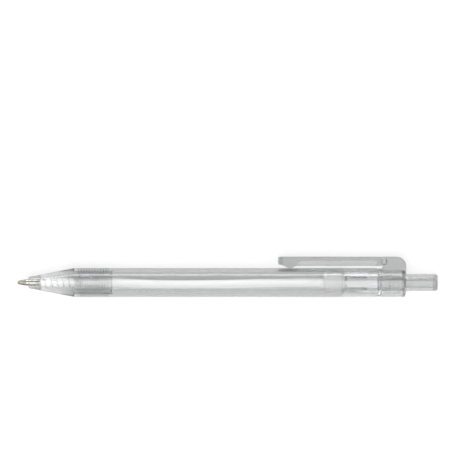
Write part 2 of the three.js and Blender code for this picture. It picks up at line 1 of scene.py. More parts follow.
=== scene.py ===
"""The looks of a clear push-button ballpoint pen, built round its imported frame.

Every piece is worked out in the pen's own coordinates: millimetres, x = 0 at the nozzle's mouth, +X to the
button and the clip on the +Z side. Axis.place then carries it into the frame, in metres, where the pen lies
on its barrel and on the edge of its clip.
"""

import logging
import math
from dataclasses import dataclass, field
from enum import Enum

import bmesh
import bpy
import numpy as np
from mathutils import Matrix, Vector


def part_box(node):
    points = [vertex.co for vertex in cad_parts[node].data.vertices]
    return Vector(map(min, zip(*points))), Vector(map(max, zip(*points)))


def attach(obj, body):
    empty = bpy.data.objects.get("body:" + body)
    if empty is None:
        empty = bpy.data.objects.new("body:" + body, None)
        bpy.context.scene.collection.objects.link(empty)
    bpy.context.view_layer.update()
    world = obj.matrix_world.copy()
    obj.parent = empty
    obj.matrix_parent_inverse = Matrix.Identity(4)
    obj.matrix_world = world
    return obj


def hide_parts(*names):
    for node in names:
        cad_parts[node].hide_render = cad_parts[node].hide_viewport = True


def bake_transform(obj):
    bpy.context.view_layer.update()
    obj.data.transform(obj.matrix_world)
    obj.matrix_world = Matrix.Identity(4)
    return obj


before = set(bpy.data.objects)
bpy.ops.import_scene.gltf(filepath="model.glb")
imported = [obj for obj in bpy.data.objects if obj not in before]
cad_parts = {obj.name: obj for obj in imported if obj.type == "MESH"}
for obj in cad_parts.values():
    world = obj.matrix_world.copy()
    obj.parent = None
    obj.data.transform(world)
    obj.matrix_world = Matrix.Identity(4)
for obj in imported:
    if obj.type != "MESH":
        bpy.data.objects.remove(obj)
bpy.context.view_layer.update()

LOG = logging.getLogger("pen")

# A millimetre, a merging distance and a sliver in metres, an edge's turn in degrees, a gap in millimetres
MM = 0.001
MERGE = 2e-7
SLIVER = 1e-7
SHARP = 32.0
GAP = 0.05


# Places along the pen that more than one piece uses, in millimetres
@dataclass(frozen=True)
class Stations:
    """Where the pieces meet along the pen's axis, and the radii at which they fit each other.

    The clip's half-width and its top are here too, with the height of the edge that the pen rests on.
    """

    parting: float = 15.8
    spigot_end: float = 28.65
    barrel_end: float = 120.3
    sleeve_front: float = 108.13
    rotor_front: float = 101.75
    rotor_end: float = 109.05
    rib_front: float = 108.28
    head_front: float = 109.2
    head_end: float = 116.9
    button_front: float = 120.55
    collar_front: float = 121.6
    collar_end: float = 130.2
    shoulder: float = 122.25
    button_end: float = 141.1
    clip_tip: float = 86.0
    block_front: float = 122.0
    casing: float = 5.0
    barrel_bore: float = 3.9
    threaded_bore: float = 4.25
    spigot: float = 4.15
    sleeve: float = 4.21
    sleeve_bore: float = 3.71
    fins: float = 3.56
    core: float = 3.2
    rib_tips: float = 3.35
    guide: float = 3.05
    pivot_x: float = 122.5
    pivot_z: float = 7.2
    clip_half: float = 2.65
    clip_top: float = 8.9
    clip_contact: float = 8.6


AT = Stations()


@dataclass(frozen=True)
class Axis:
    """The pen's own coordinates in the frame.

    Attributes:
        x: Frame X of the nozzle's mouth, in metres.
        y: Frame Y of the pen's axis, in metres.
        z: Frame Z of the pen's axis, in metres.
        turn: Turn about the axis from the pen's coordinates to the frame's, in radians.
    """

    x: float
    y: float
    z: float
    turn: float

    @classmethod
    def from_frame(cls) -> "Axis":
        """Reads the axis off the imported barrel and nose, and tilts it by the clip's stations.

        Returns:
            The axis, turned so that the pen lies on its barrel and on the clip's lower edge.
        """
        low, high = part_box("barrel")
        reach = math.hypot(AT.clip_contact, AT.clip_half)
        tilt = math.asin(AT.casing / reach) - math.atan2(AT.clip_half, AT.clip_contact)
        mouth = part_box("nose_cone")[0].x
        return cls(mouth, (low.y + high.y) / 2, (low.z + high.z) / 2, -(math.pi / 2 + tilt))

    def place(self, points: np.ndarray) -> np.ndarray:
        """Carries points from the pen's millimetres into the frame's metres.

        Args:
            points: Array of shape (n, 3).

        Returns:
            The same points in the frame: scaled, with y and z turned about the axis, and shifted.
        """
        cosine, sine = math.cos(self.turn), math.sin(self.turn)
        x, y, z = points.T * MM
        return np.column_stack([x + self.x, y * cosine - z * sine + self.y, y * sine + z * cosine + self.z])


AXIS = Axis.from_frame()


# Meshes from arrays


@dataclass
class Shell:
    """A surface as arrays: points in the pen's millimetres and quads of point numbers."""

    points: np.ndarray
    quads: np.ndarray


def grid_quads(rows: int, columns: int, wrap_rows: bool, wrap_columns: bool) -> np.ndarray:
    """Quads of a grid of points numbered row by row.

    Args:
        rows: Number of rows.
        columns: Number of points in a row.
        wrap_rows: Whether the last row joins the first.
        wrap_columns: Whether each row closes on itself.

    Returns:
        Array of shape (n, 4).
    """
    r = np.arange(rows if wrap_rows else rows - 1)[:, None]
    c = np.arange(columns if wrap_columns else columns - 1)[None, :]
    r_next, c_next = (r + 1) % rows, (c + 1) % columns
    corners = [r * columns + c, r * columns + c_next, r_next * columns + c_next, r_next * columns + c]
    return np.stack(np.broadcast_arrays(*corners), axis=-1).reshape(-1, 4)


def turned(profile: np.ndarray, angles: np.ndarray | int = 96, closed: bool = True) -> Shell:
    """Turns a profile about the pen's axis: y = radius * cos(angle), z = radius * sin(angle).

    Args:
        profile: Array of shape (n, 2) of x and radius.
        angles: The angles of the columns in radians, or how many evenly spaced ones.
        closed: Whether the profile closes on itself. An open one starts and ends on the axis.

    Returns:
        The surface, one row for each profile point.
    """
    if isinstance(angles, int):
        angles = np.arange(angles) * (2 * np.pi / angles)
    x = np.repeat(profile[:, 0], len(angles))
    radius = np.repeat(profile[:, 1], len(angles))
    theta = np.tile(angles, len(profile))
    points = np.column_stack([x, radius * np.cos(theta), radius * np.sin(theta)])
    return Shell(points, grid_quads(len(profile), len(angles), closed, True))


def polar(points: np.ndarray) -> tuple[np.ndarray, np.ndarray, np.ndarray]:
    """Splits points into x, radius and angle about the pen's axis."""
    return points[:, 0], np.hypot(points[:, 1], points[:, 2]), np.arctan2(points[:, 2], points[:, 1])


def from_polar(x: np.ndarray, radius: np.ndarray, theta: np.ndarray) -> np.ndarray:
    """Puts x, radius and angle about the pen's axis back together."""
    return np.column_stack([x, radius * np.cos(theta), radius * np.sin(theta)])


def filleted(corners: list[tuple[float, float, float]], steps: int = 5, closed: bool = True) -> np.ndarray:
    """Rounds the corners of a profile.

    Each corner with a fillet radius f becomes a quadratic curve between the two points that lie
    f * tan(half the turn) away from it, kept to 0.45 of its shorter side.

    Args:
        corners: (x, radius, fillet) in order.
        steps: Number of spans on each fillet.
        closed: Whether the profile closes on itself.

    Returns:
        Array of shape (n, 2).
    """
    data = np.array(corners, float)
    here = data[:, :2]
    before, after = np.roll(here, 1, axis=0) - here, np.roll(here, -1, axis=0) - here
    long_before, long_after = np.linalg.norm(before, axis=1), np.linalg.norm(after, axis=1)
    u_before = before / np.maximum(long_before, 1e-9)[:, None]
    u_after = after / np.maximum(long_after, 1e-9)[:, None]
    bend = np.arccos(np.clip(-(u_before * u_after).sum(1), -1, 1))
    cut = np.minimum(data[:, 2] * np.tan(bend / 2), 0.45 * np.minimum(long_before, long_after))
    if not closed:
        cut[[0, -1]] = 0
    t = np.linspace(0, 1, steps + 1)[None, :, None]
    start, end = (here + u_before * cut[:, None])[:, None, :], (here + u_after * cut[:, None])[:, None, :]
    curves = start * (1 - t) ** 2 + 2 * here[:, None, :] * t * (1 - t) + end * t**2
    parts = [curve if c > 1e-6 else point[None, :] for curve, c, point in zip(curves, cut, here)]
    return np.vstack(parts)


def refined(profile: np.ndarray, start: float, end: float, step: float) -> np.ndarray:
    """Divides a profile's spans into parts no longer than a step.

    Args:
        profile: Array of shape (n, 2) of x and radius.
        start: Least x of a divided span. A span that reaches past it on either side stays whole.
        end: Greatest x of a divided span.
        step: Greatest length of a part.

    Returns:
        The profile with the added points.
    """
    pieces = []
    for here, after in zip(profile[:-1], profile[1:]):
        inside = min(here[0], after[0]) >= start - 1e-6 and max(here[0], after[0]) <= end + 1e-6
        count = max(1, math.ceil(np.linalg.norm(after - here) / step)) if inside else 1
        t = np.linspace(0, 1, count, endpoint=False)[:, None]
        pieces.append(here * (1 - t) + after * t)
    pieces.append(profile[-1:])
    return np.vstack(pieces)


def signed_volume(mesh: bpy.types.Mesh) -> float:
    """Sum over the triangles of corner . (corner x corner) / 6, which is positive when faces point out."""
    mesh.calc_loop_triangles()
    triangles = np.empty(len(mesh.loop_triangles) * 3, np.int32)
    mesh.loop_triangles.foreach_get("vertices", triangles)
    points = np.empty(len(mesh.vertices) * 3)
    mesh.vertices.foreach_get("co", points)
    a, b, c = points.reshape(-1, 3)[triangles.reshape(-1, 3)].transpose(1, 0, 2)
    return float(np.einsum("ij,ij->i", a, np.cross(b, c)).sum() / 6)


def finished_mesh(obj: bpy.types.Object, sharp_degrees: float) -> None:
    """Merges doubles, turns the faces outwards and shades all but the sharp edges smooth.

    Args:
        obj: The mesh object.
        sharp_degrees: Edges that turn by more than this stay sharp.
    """
    mesh = obj.data
    work = bmesh.new()
    work.from_mesh(mesh)
    bmesh.ops.remove_doubles(work, verts=work.verts, dist=MERGE)
    bmesh.ops.dissolve_degenerate(work, edges=work.edges, dist=SLIVER)
    work.to_mesh(mesh)
    work.free()
    if signed_volume(mesh) < 0:
        mesh.flip_normals()
    mesh.polygons.foreach_set("use_smooth", np.ones(len(mesh.polygons), bool))
    mesh.set_sharp_from_angle(angle=math.radians(sharp_degrees))
    mesh.update()


def apply_modifiers(obj: bpy.types.Object) -> None:
    """Replaces an object's mesh by its evaluated one and takes the modifiers off."""
    evaluated = obj.evaluated_get(bpy.context.evaluated_depsgraph_get())
    result = bpy.data.meshes.new_from_object(evaluated)
    obj.modifiers.clear()
    old, obj.data = obj.data, result
    bpy.data.meshes.remove(old)
    result.name = obj.name


def weigh_normals(obj: bpy.types.Object) -> None:
    """Weights the normals by the faces' areas, so that a long face stays straight up to its fillet."""
    modifier = obj.modifiers.new("weigh", "WEIGHTED_NORMAL")
    modifier.mode = "FACE_AREA"
    modifier.keep_sharp = True
    apply_modifiers(obj)


def mesh_object(name: str, shell: Shell, sharp_degrees: float = SHARP) -> bpy.types.Object:
    """Makes a Blender object at the origin from a surface in the pen's coordinates.

    Args:
        name: Name of the object and its mesh.
        shell: The surface.
        sharp_degrees: Edges that turn by more than this stay sharp.

    Returns:
        The linked object.
    """
    mesh = bpy.data.meshes.new(name)
    mesh.from_pydata(AXIS.place(shell.points).tolist(), [], shell.quads.tolist())
    obj = bpy.data.objects.new(name, mesh)
    bpy.context.scene.collection.objects.link(obj)
    finished_mesh(obj, sharp_degrees)
    return obj


class Cut(Enum):
    """How a Boolean modifier combines two solids."""

    JOIN = "UNION"
    TAKE = "DIFFERENCE"


def combine(obj: bpy.types.Object, tool: bpy.types.Object, cut: Cut) -> None:
    """Joins a tool to an object or takes it away, and removes the tool.

    Args:
        obj: The object that keeps the result.
        tool: The other solid.
        cut: Join or take.
    """
    modifier = obj.modifiers.new("combine", "BOOLEAN")
    modifier.operation = cut.value
    modifier.solver = "EXACT"
    modifier.object = tool
    apply_modifiers(obj)
    bpy.data.objects.remove(tool)
    finished_mesh(obj, SHARP)


def extruded(outline: np.ndarray, half: float, edge: float, steps: int = 4) -> Shell:
    """Extrudes a convex outline in x and z along Y, with its side edges rounded.

    The rows go from one flat side to the other. A row of a rounded edge lies at
    y = half - edge + edge * sin(a) and is the outline drawn in towards its inside by edge * (1 - cos(a)).

    Args:
        outline: Array of shape (n, 2) of x and z, in order round the outline.
        half: Half the width along Y.
        edge: Radius of the rounded side edges.
        steps: Spans on each rounded edge.

    Returns:
        The closed surface, with a fan of quads on each flat side.
    """
    tangent = np.roll(outline, -1, axis=0) - np.roll(outline, 1, axis=0)
    tangent /= np.maximum(np.linalg.norm(tangent, axis=1), 1e-9)[:, None]
    area = np.cross(outline, np.roll(outline, -1, axis=0)).sum()
    inward = np.column_stack([-tangent[:, 1], tangent[:, 0]]) * np.sign(area)
    a = np.linspace(np.pi / 2, 0, steps + 1)
    inset = np.concatenate([edge * (1 - np.cos(a)), edge * (1 - np.cos(a[::-1]))])
    across = np.concatenate([-(half - edge) - edge * np.sin(a), half - edge + edge * np.sin(a[::-1])])
    rows = outline[None, :, :] + inward[None, :, :] * inset[:, None, None]
    middle = rows[:1].mean(axis=1, keepdims=True).repeat(len(outline), axis=1)
    rows = np.concatenate([middle, rows, middle])
    across = np.concatenate([across[:1], across, across[-1:]])
    y = np.repeat(across, len(outline))
    flat = rows.reshape(-1, 2)
    points = np.column_stack([flat[:, 0], y, flat[:, 1]])
    return Shell(points, grid_quads(len(rows), len(outline), False, True))


def circle_arc(x: float, z: float, size: float, start: float, end: float, steps: int = 12) -> np.ndarray:
    """Points of an arc about (x, z), between two angles in degrees."""
    a = np.radians(np.linspace(start, end, steps + 1))
    return np.column_stack([x + size * np.cos(a), z + size * np.sin(a)])


# Finishes


class Nodes:
    """A small hand for building node trees."""

    def __init__(self, tree: bpy.types.NodeTree) -> None:
        """Keeps the tree."""
        self.tree = tree

    def add(self, kind: str, inputs: dict[str, object] | None = None, **values: object) -> bpy.types.Node:
        """Adds a node.

        Args:
            kind: Blender's name of the node type.
            inputs: Input name or number to a socket that feeds it, or to its plain value.
            values: Attributes of the node.

        Returns:
            The node.
        """
        node = self.tree.nodes.new(kind)
        for key, value in values.items():
            setattr(node, key, value)
        for key, value in (inputs or {}).items():
            if isinstance(value, bpy.types.NodeSocket):
                self.tree.links.new(value, node.inputs[key])
            else:
                node.inputs[key].default_value = value
        return node

    def math(
        self, operation: str, first: object, second: object = 0.0, clamp: bool = False
    ) -> bpy.types.NodeSocket:
        """Adds a Math node and returns its output."""
        node = self.add("ShaderNodeMath", {0: first, 1: second}, operation=operation, use_clamp=clamp)
        return node.outputs[0]

    def spread(self, value: bpy.types.NodeSocket, low: float, high: float) -> bpy.types.NodeSocket:
        """Maps low to 0 and high to 1, smoothly and clamped."""
        node = self.add("ShaderNodeMapRange", {0: value, 1: low, 2: high}, interpolation_type="SMOOTHSTEP")
        return node.outputs[0]


def new_group(
    name: str, inputs: dict[str, float], outputs: list[str]
) -> tuple[Nodes, bpy.types.Node, bpy.types.Node]:
    """Starts a shader node group.

    Args:
        name: The group's name.
        inputs: Name to default of each number that it takes.
        outputs: Names of the values that it puts out.

    Returns:
        Its nodes, its input node and its output node.
    """
    tree = bpy.data.node_groups.new(name, "ShaderNodeTree")
    for label, value in inputs.items():
        tree.interface.new_socket(label, in_out="INPUT", socket_type="NodeSocketFloat").default_value = value
    for label in outputs:
        tree.interface.new_socket(label, in_out="OUTPUT", socket_type="NodeSocketFloat")
    nodes = Nodes(tree)
    return nodes, nodes.add("NodeGroupInput"), nodes.add("NodeGroupOutput")


def moulded_skin() -> bpy.types.NodeTree:
    """Group for the skin of moulded plastic: smudges, fine scratches along the pen and a slow ripple.

    Returns:
        A group that takes Smudge and Scratch amounts and puts out Wear and Height, both about 0 to 1.
    """
    nodes, given, out = new_group("moulded_skin", {"Smudge": 0.5, "Scratch": 0.5}, ["Wear", "Height"])
    place = nodes.add("ShaderNodeTexCoord").outputs["Object"]
    cloud = {"Vector": place, "Scale": 110.0, "Detail": 3.0, "Roughness": 0.55}
    broad = nodes.spread(nodes.add("ShaderNodeTexNoise", cloud).outputs[0], 0.52, 0.72)
    smudge = nodes.math("MULTIPLY", broad, given.outputs["Smudge"])
    drawn = nodes.add("ShaderNodeMapping", {"Vector": place, "Scale": (90.0, 2400.0, 2400.0)})
    hair = nodes.add("ShaderNodeTexNoise", {"Vector": drawn.outputs[0], "Scale": 1.0, "Detail": 2.0})
    scratch = nodes.math("MULTIPLY", nodes.spread(hair.outputs[0], 0.66, 0.74), given.outputs["Scratch"])
    slow = nodes.add("ShaderNodeMapping", {"Vector": place, "Scale": (7.0, 260.0, 260.0)})
    ripple = nodes.add("ShaderNodeTexNoise", {"Vector": slow.outputs[0], "Scale": 1.0, "Detail": 1.0})
    nodes.tree.links.new(nodes.math("ADD", smudge, scratch, clamp=True), out.inputs["Wear"])
    dent = nodes.math("MULTIPLY", scratch, 0.15)
    nodes.tree.links.new(nodes.math("SUBTRACT", ripple.outputs[0], dent), out.inputs["Height"])
    return nodes.tree


def turned_rings() -> bpy.types.NodeTree:
    """Group for turned metal: fine rings square to the pen's axis, bent a little by noise.

    Returns:
        A group that takes Pitch, in radians per metre, and puts out Ring and Stain, both from 0 to 1.
    """
    nodes, given, out = new_group("turned_rings", {"Pitch": 14000.0}, ["Ring", "Stain"])
    place = nodes.add("ShaderNodeTexCoord").outputs["Object"]
    along = nodes.add("ShaderNodeSeparateXYZ", {0: place}).outputs["X"]
    wander = nodes.add("ShaderNodeTexNoise", {"Vector": place, "Scale": 900.0, "Detail": 2.0}).outputs[0]
    even = nodes.math("MULTIPLY", along, given.outputs["Pitch"])
    phase = nodes.math("ADD", even, nodes.math("MULTIPLY", wander, 4.0))
    ring = nodes.math("ADD", nodes.math("MULTIPLY", nodes.math("SINE", phase), 0.5), 0.5)
    cloud = {"Vector": place, "Scale": 420.0, "Detail": 4.0, "Roughness": 0.6}
    stain = nodes.spread(nodes.add("ShaderNodeTexNoise", cloud).outputs[0], 0.4, 0.7)
    nodes.tree.links.new(ring, out.inputs["Ring"])
    nodes.tree.links.new(stain, out.inputs["Stain"])
    return nodes.tree


SKIN = moulded_skin()
RINGS = turned_rings()


def fresh_material(name: str) -> tuple[bpy.types.Material, Nodes, bpy.types.Node]:
    """Makes a material with an empty tree but for its output node."""
    material = bpy.data.materials.new(name)
    material.use_nodes = True
    material.node_tree.nodes.clear()
    nodes = Nodes(material.node_tree)
    return material, nodes, nodes.add("ShaderNodeOutputMaterial")


def bumped_skin(
    nodes: Nodes, smudge: float, scratch: float, rough: float, worn: float, height: float
) -> tuple[bpy.types.NodeSocket, bpy.types.NodeSocket, bpy.types.NodeSocket]:
    """Adds the moulded skin with its roughness and its bump.

    Args:
        nodes: The material's nodes.
        smudge: Amount of smudges, from 0 to 1.
        scratch: Amount of fine scratches, from 0 to 1.
        rough: Roughness of clean skin.
        worn: What wear adds to the roughness.
        height: Height of the skin's ripple, in millimetres.

    Returns:
        The wear, the roughness and the normal.
    """
    skin = nodes.add("ShaderNodeGroup", {}, node_tree=SKIN)
    skin.inputs["Smudge"].default_value = smudge
    skin.inputs["Scratch"].default_value = scratch
    wear = skin.outputs["Wear"]
    roughness = nodes.add("ShaderNodeMapRange", {0: wear, 3: rough, 4: rough + worn})
    bump = nodes.add(
        "ShaderNodeBump", {"Height": skin.outputs["Height"], "Distance": height * MM, "Strength": 1.0}
    )
    return wear, roughness.outputs[0], bump.outputs[0]


def stained(
    nodes: Nodes, share: bpy.types.NodeSocket, clean: tuple[float, ...], stain: tuple[float, ...]
) -> bpy.types.NodeSocket:
    """Mixes a clean colour with a stain's by a share."""
    colour = nodes.add("ShaderNodeMix", {0: share}, data_type="RGBA")
    colour.inputs[6].default_value = (*clean, 1.0)
    colour.inputs[7].default_value = (*stain, 1.0)
    return colour.outputs[2]


@dataclass(frozen=True)
class ClearPlastic:
    """Clear moulded plastic.

    Attributes:
        name: Name of the material.
        tint: Colour that the plastic passes.
        rough: Roughness of clean skin.
        worn: What wear adds to the roughness.
        ripple: Height of the mould's slow ripple, in millimetres.
        grey: Absorption for each metre of plastic, which shows in thick places.
        smudge: Amount of smudges.
        scratch: Amount of fine scratches.
    """

    name: str
    tint: tuple[float, float, float]
    rough: float = 0.0
    worn: float = 0.05
    ripple: float = 0.0003
    grey: float = 132.0
    smudge: float = 0.35
    scratch: float = 0.6

    def material(self) -> bpy.types.Material:
        """Builds the material: a glass-like surface that lets the lamps' shadow rays through."""
        material, nodes, out = fresh_material(self.name)
        rough, normal = bumped_skin(nodes, self.smudge, self.scratch, self.rough, self.worn, self.ripple)[1:]
        plastic = nodes.add(
            "ShaderNodeBsdfPrincipled",
            {
                "Base Color": (*self.tint, 1.0),
                "Roughness": rough,
                "IOR": 1.5,
                "Transmission Weight": 1.0,
                "Metallic": 0.0,
                "Normal": normal,
            },
        )
        passing = nodes.add("ShaderNodeBsdfTransparent", {"Color": (*np.sqrt(self.tint).tolist(), 1.0)})
        lamp_ray = nodes.add("ShaderNodeLightPath").outputs["Is Shadow Ray"]
        mixed = nodes.add("ShaderNodeMixShader", {0: lamp_ray, 1: plastic.outputs[0], 2: passing.outputs[0]})
        material.node_tree.links.new(mixed.outputs[0], out.inputs["Surface"])
        half_grey = {"Color": (0.5, 0.5, 0.5, 1.0), "Density": 2 * self.grey}
        haze = nodes.add("ShaderNodeVolumeAbsorption", half_grey)
        material.node_tree.links.new(haze.outputs[0], out.inputs["Volume"])
        return material


@dataclass(frozen=True)
class SatinPlastic:
    """Opaque or milky moulded plastic.

    Attributes:
        name: Name of the material.
        colour: Its colour.
        soil: Its colour where handled or shaded by fine dust.
        rough: Roughness of clean skin.
        milky: Share of light that goes under the surface.
        worn: What wear adds to the roughness.
        ripple: Height of the mould's slow ripple, in millimetres.
        depth: Scale, in millimetres, and radius of the light that goes under the surface.
        smudge: Amount of smudges.
        scratch: Amount of fine scratches.
    """

    name: str
    colour: tuple[float, float, float]
    soil: tuple[float, float, float]
    rough: float
    milky: float = 0.0
    worn: float = 0.2
    ripple: float = 0.01
    depth: float = 0.8
    smudge: float = 0.8
    scratch: float = 0.5

    def material(self) -> bpy.types.Material:
        """Builds the material from the moulded skin."""
        material, nodes, out = fresh_material(self.name)
        wear, rough, normal = bumped_skin(
            nodes, self.smudge, self.scratch, self.rough, self.worn, self.ripple
        )
        plastic = nodes.add(
            "ShaderNodeBsdfPrincipled",
            {
                "Base Color": stained(nodes, wear, self.colour, self.soil),
                "Roughness": rough,
                "Normal": normal,
                "Subsurface Weight": self.milky,
                "Subsurface Radius": (self.depth,) * 3,
                "Subsurface Scale": self.depth * MM,
            },
        )
        material.node_tree.links.new(plastic.outputs[0], out.inputs["Surface"])
        return material


@dataclass(frozen=True)
class TurnedMetal:
    """Turned or drawn metal.

    Attributes:
        name: Name of the material.
        colour: Its clean colour.
        stain: Its colour where it is handled or touched by ink.
        rough: Its least roughness.
        pitch: Rings per metre, times two pi.
        uneven: What the rings add to the roughness.
        height: Height of the rings, in millimetres.
        strength: Strength of their bump.
    """

    name: str
    colour: tuple[float, float, float]
    stain: tuple[float, float, float]
    rough: float
    pitch: float = 42000.0
    uneven: float = 0.15
    height: float = 0.006
    strength: float = 0.6

    def material(self) -> bpy.types.Material:
        """Builds the material from the turned rings."""
        material, nodes, out = fresh_material(self.name)
        rings = nodes.add("ShaderNodeGroup", {}, node_tree=RINGS)
        rings.inputs["Pitch"].default_value = self.pitch
        ring = rings.outputs["Ring"]
        rough = nodes.add("ShaderNodeMapRange", {0: ring, 3: self.rough, 4: self.rough + self.uneven})
        bump = nodes.add(
            "ShaderNodeBump", {"Height": ring, "Distance": self.height * MM, "Strength": self.strength}
        )
        metal = nodes.add(
            "ShaderNodeBsdfPrincipled",
            {
                "Base Color": stained(nodes, rings.outputs["Stain"], self.colour, self.stain),
                "Metallic": 1.0,
                "Roughness": rough.outputs[0],
                "Normal": bump.outputs[0],
            },
        )
        material.node_tree.links.new(metal.outputs[0], out.inputs["Surface"])
        return material


def made(finish: ClearPlastic | SatinPlastic | TurnedMetal) -> bpy.types.Material:
    """Field that builds a finish's material when the set of finishes is made."""
    return field(default_factory=finish.material)


@dataclass
class Finishes:
    """The pen's materials, each built once."""

    # The clear pieces are copies of one plastic with different tints and greys. Besides the plastic's own
    # absorption, the grey tints are painted shade: they stand in for the dark surroundings seen through a
    # clear pen.
    clear: bpy.types.Material = made(ClearPlastic("clear_plastic", (0.93, 0.934, 0.935), 0.2, ripple=0.0012))
    casing: bpy.types.Material = made(ClearPlastic("clear_casing_plastic", (0.9, 0.904, 0.906), grey=190.0))
    cone: bpy.types.Material = made(ClearPlastic("clear_cone_plastic", (0.965, 0.969, 0.97), grey=175.0))
    # Darkest copy, for the clip and the button: painted shade that makes these pieces greyer than the rest of
    # the clear plastic.
    handled: bpy.types.Material = made(
        ClearPlastic("clear_painted_shade_plastic", (0.76, 0.764, 0.765), grey=110.0)
    )
    inner: bpy.types.Material = made(ClearPlastic("clear_inner_plastic", (0.97, 0.972, 0.973), grey=18.0))
    white: bpy.types.Material = made(
        SatinPlastic("white_plastic", (0.76, 0.76, 0.755), (0.69, 0.69, 0.68), 0.32)
    )
    tube: bpy.types.Material = made(
        SatinPlastic("tube_plastic", (0.93, 0.93, 0.925), (0.87, 0.87, 0.86), 0.3, milky=0.3)
    )
    steel: bpy.types.Material = made(
        TurnedMetal("spring_steel", (0.88, 0.88, 0.89), (0.7, 0.7, 0.71), 0.2, pitch=9000.0)
    )
    silver: bpy.types.Material = made(
        TurnedMetal("nickel_silver", (0.47, 0.455, 0.428), (0.3, 0.27, 0.23), 0.08)
    )
    # Darker metal for the point's cone: partly another metal than the shank, partly painted shade for the
    # tip's dark reflections.
    cone_metal: bpy.types.Material = made(
        TurnedMetal("turned_cone_metal", (0.3, 0.28, 0.245), (0.2, 0.17, 0.135), 0.08)
    )
    carbide: bpy.types.Material = made(
        TurnedMetal("hard_metal", (0.5, 0.5, 0.52), (0.16, 0.16, 0.18), 0.1, pitch=60000.0)
    )
    ink: bpy.types.Material = made(SatinPlastic("ink", (0.012, 0.012, 0.016), (0.02, 0.02, 0.025), 0.15))


@dataclass
class Dresser:
    """Gives each finished piece its material, its body and the solid that it stands for."""

    finishes: Finishes
    count: int = 0

    def dress(
        self,
        obj: bpy.types.Object,
        material: bpy.types.Material,
        body: str,
        node: str,
    ) -> None:
        """Dresses one piece.

        Args:
            obj: The piece.
            material: Its finish.
            body: The body that it rides on.
            node: The solid that it replaces.
        """
        obj.data.materials.clear()
        obj.data.materials.append(material)
        weigh_normals(obj)
        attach(obj, body)
        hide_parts(node)
        self.count += 1
        LOG.info("%s: %d faces, rides on %s", obj.name, len(obj.data.polygons), body)


# Sub-assemblies


# The nose's thread, in millimetres but for the numbers of starts and columns
THREAD_LEAD = 1.9
THREAD_STARTS = 2
THREAD_FADE = 0.8
THREAD_DEPTH = 0.11
THREAD_RING = 0.06
THREAD_COLUMNS = 120


def thread_share(x: np.ndarray, theta: np.ndarray) -> np.ndarray:
    """Height of the nose's right-hand thread from 0 to 1, alike for the groove and the ridge that runs in it.

    Args:
        x: Places along the pen, in millimetres.
        theta: Angles about the pen.

    Returns:
        A raised cosine half the pitch wide at each of the thread's starts.
    """
    phase = THREAD_STARTS * (x / THREAD_LEAD - theta / (2 * np.pi)) % 1 - 0.5
    return np.where(np.abs(phase) < 1 / 4, 0.5 + 0.5 * np.cos(4 * np.pi * phase), 0)


@dataclass
class NoseCone:
    """Clear cone with a round nozzle and a threaded spigot."""

    nozzle_face: float = 1.93
    nozzle_edge: float = 0.5
    nozzle_bore: float = 1.25
    step: float = 4.3
    chamber: float = 2.06
    taper: float = 7.1
    bore: float = 3.1
    thread_start: float = 16.3
    end_fillet: float = 0.3

    def profile(self) -> np.ndarray:
        """Outline in x and radius, outside first and back along the bore."""
        end = AT.spigot_end
        corners = [
            (0, self.nozzle_bore, 0.12),
            (0, self.nozzle_face, self.nozzle_edge),
            (AT.parting, AT.casing, 0.05),
            (AT.parting, AT.spigot, 0.02),
            (end, AT.spigot, self.end_fillet),
            (end, self.bore, 0.12),
            (self.step + self.taper, self.bore, 1.2),
            (self.step, self.chamber, 0.1),
            (self.step, self.nozzle_bore, 0.08),
        ]
        return refined(filleted(corners), AT.parting + 0.01, end - self.end_fillet, THREAD_RING)

    def threaded(self, points: np.ndarray) -> np.ndarray:
        """Cuts the thread's groove into the spigot's outside.

        The groove starts smoothly behind the parting. It is open at the spigot's end, where the ridge
        enters it.
        """
        x, radius, theta = polar(points)
        fade = np.clip((x - self.thread_start) / THREAD_FADE, 0, 1)
        groove = AT.spigot - THREAD_DEPTH * thread_share(x, theta) * fade
        on_spigot = (x > AT.parting + 0.1) & (radius > AT.spigot - self.end_fillet)
        return from_polar(x, np.where(on_spigot, np.minimum(radius, groove), radius), theta)

    def build(self, dresser: Dresser) -> None:
        """Builds and dresses the cone."""
        shell = turned(self.profile(), THREAD_COLUMNS)
        shell.points = self.threaded(shell.points)
        dresser.dress(mesh_object("nose_cone_clear", shell), dresser.finishes.cone, "nose", "nose_cone")


@dataclass
class Barrel:
    """Clear tube with the thread's ridge in its front and a wider bore at its rear."""

    thread_start: float = 16.7
    thread_end: float = 28.0
    rear_bore: float = 4.25

    def ridged(self, points: np.ndarray) -> np.ndarray:
        """Raises the thread's ridge in the bore over the spigot, faded at both of its ends."""
        x, radius, theta = polar(points)
        fade = np.clip(np.minimum(x - self.thread_start, self.thread_end - x) / THREAD_FADE, 0, 1)
        ridge = radius - THREAD_DEPTH * thread_share(x, theta) * fade
        in_bore = np.abs(radius - AT.threaded_bore) < 0.02
        return from_polar(x, np.where(in_bore, ridge, radius), theta)

    def build(self, dresser: Dresser) -> None:
        """Builds and dresses the barrel."""
        front, step, sleeve = AT.parting + GAP, AT.spigot_end + GAP, AT.sleeve_front - GAP
        corners = [
            (front, AT.threaded_bore, 0.08),
            (front, AT.casing, 0.05),
            (AT.barrel_end, AT.casing, 0.12),
            (AT.barrel_end, self.rear_bore, 0.05),
            (sleeve, self.rear_bore, 0.05),
            (sleeve, AT.barrel_bore, 0.1),
            (step, AT.barrel_bore, 0.15),
            (step, AT.threaded_bore, 0.05),
        ]
        closed = filleted(corners)
        profile = refined(np.vstack([closed, closed[:1]]), front, step, THREAD_RING)[:-1]
        shell = turned(profile, THREAD_COLUMNS)
        shell.points = self.ridged(shell.points)
        dresser.dress(mesh_object("barrel_clear", shell), dresser.finishes.casing, "barrel", "barrel")


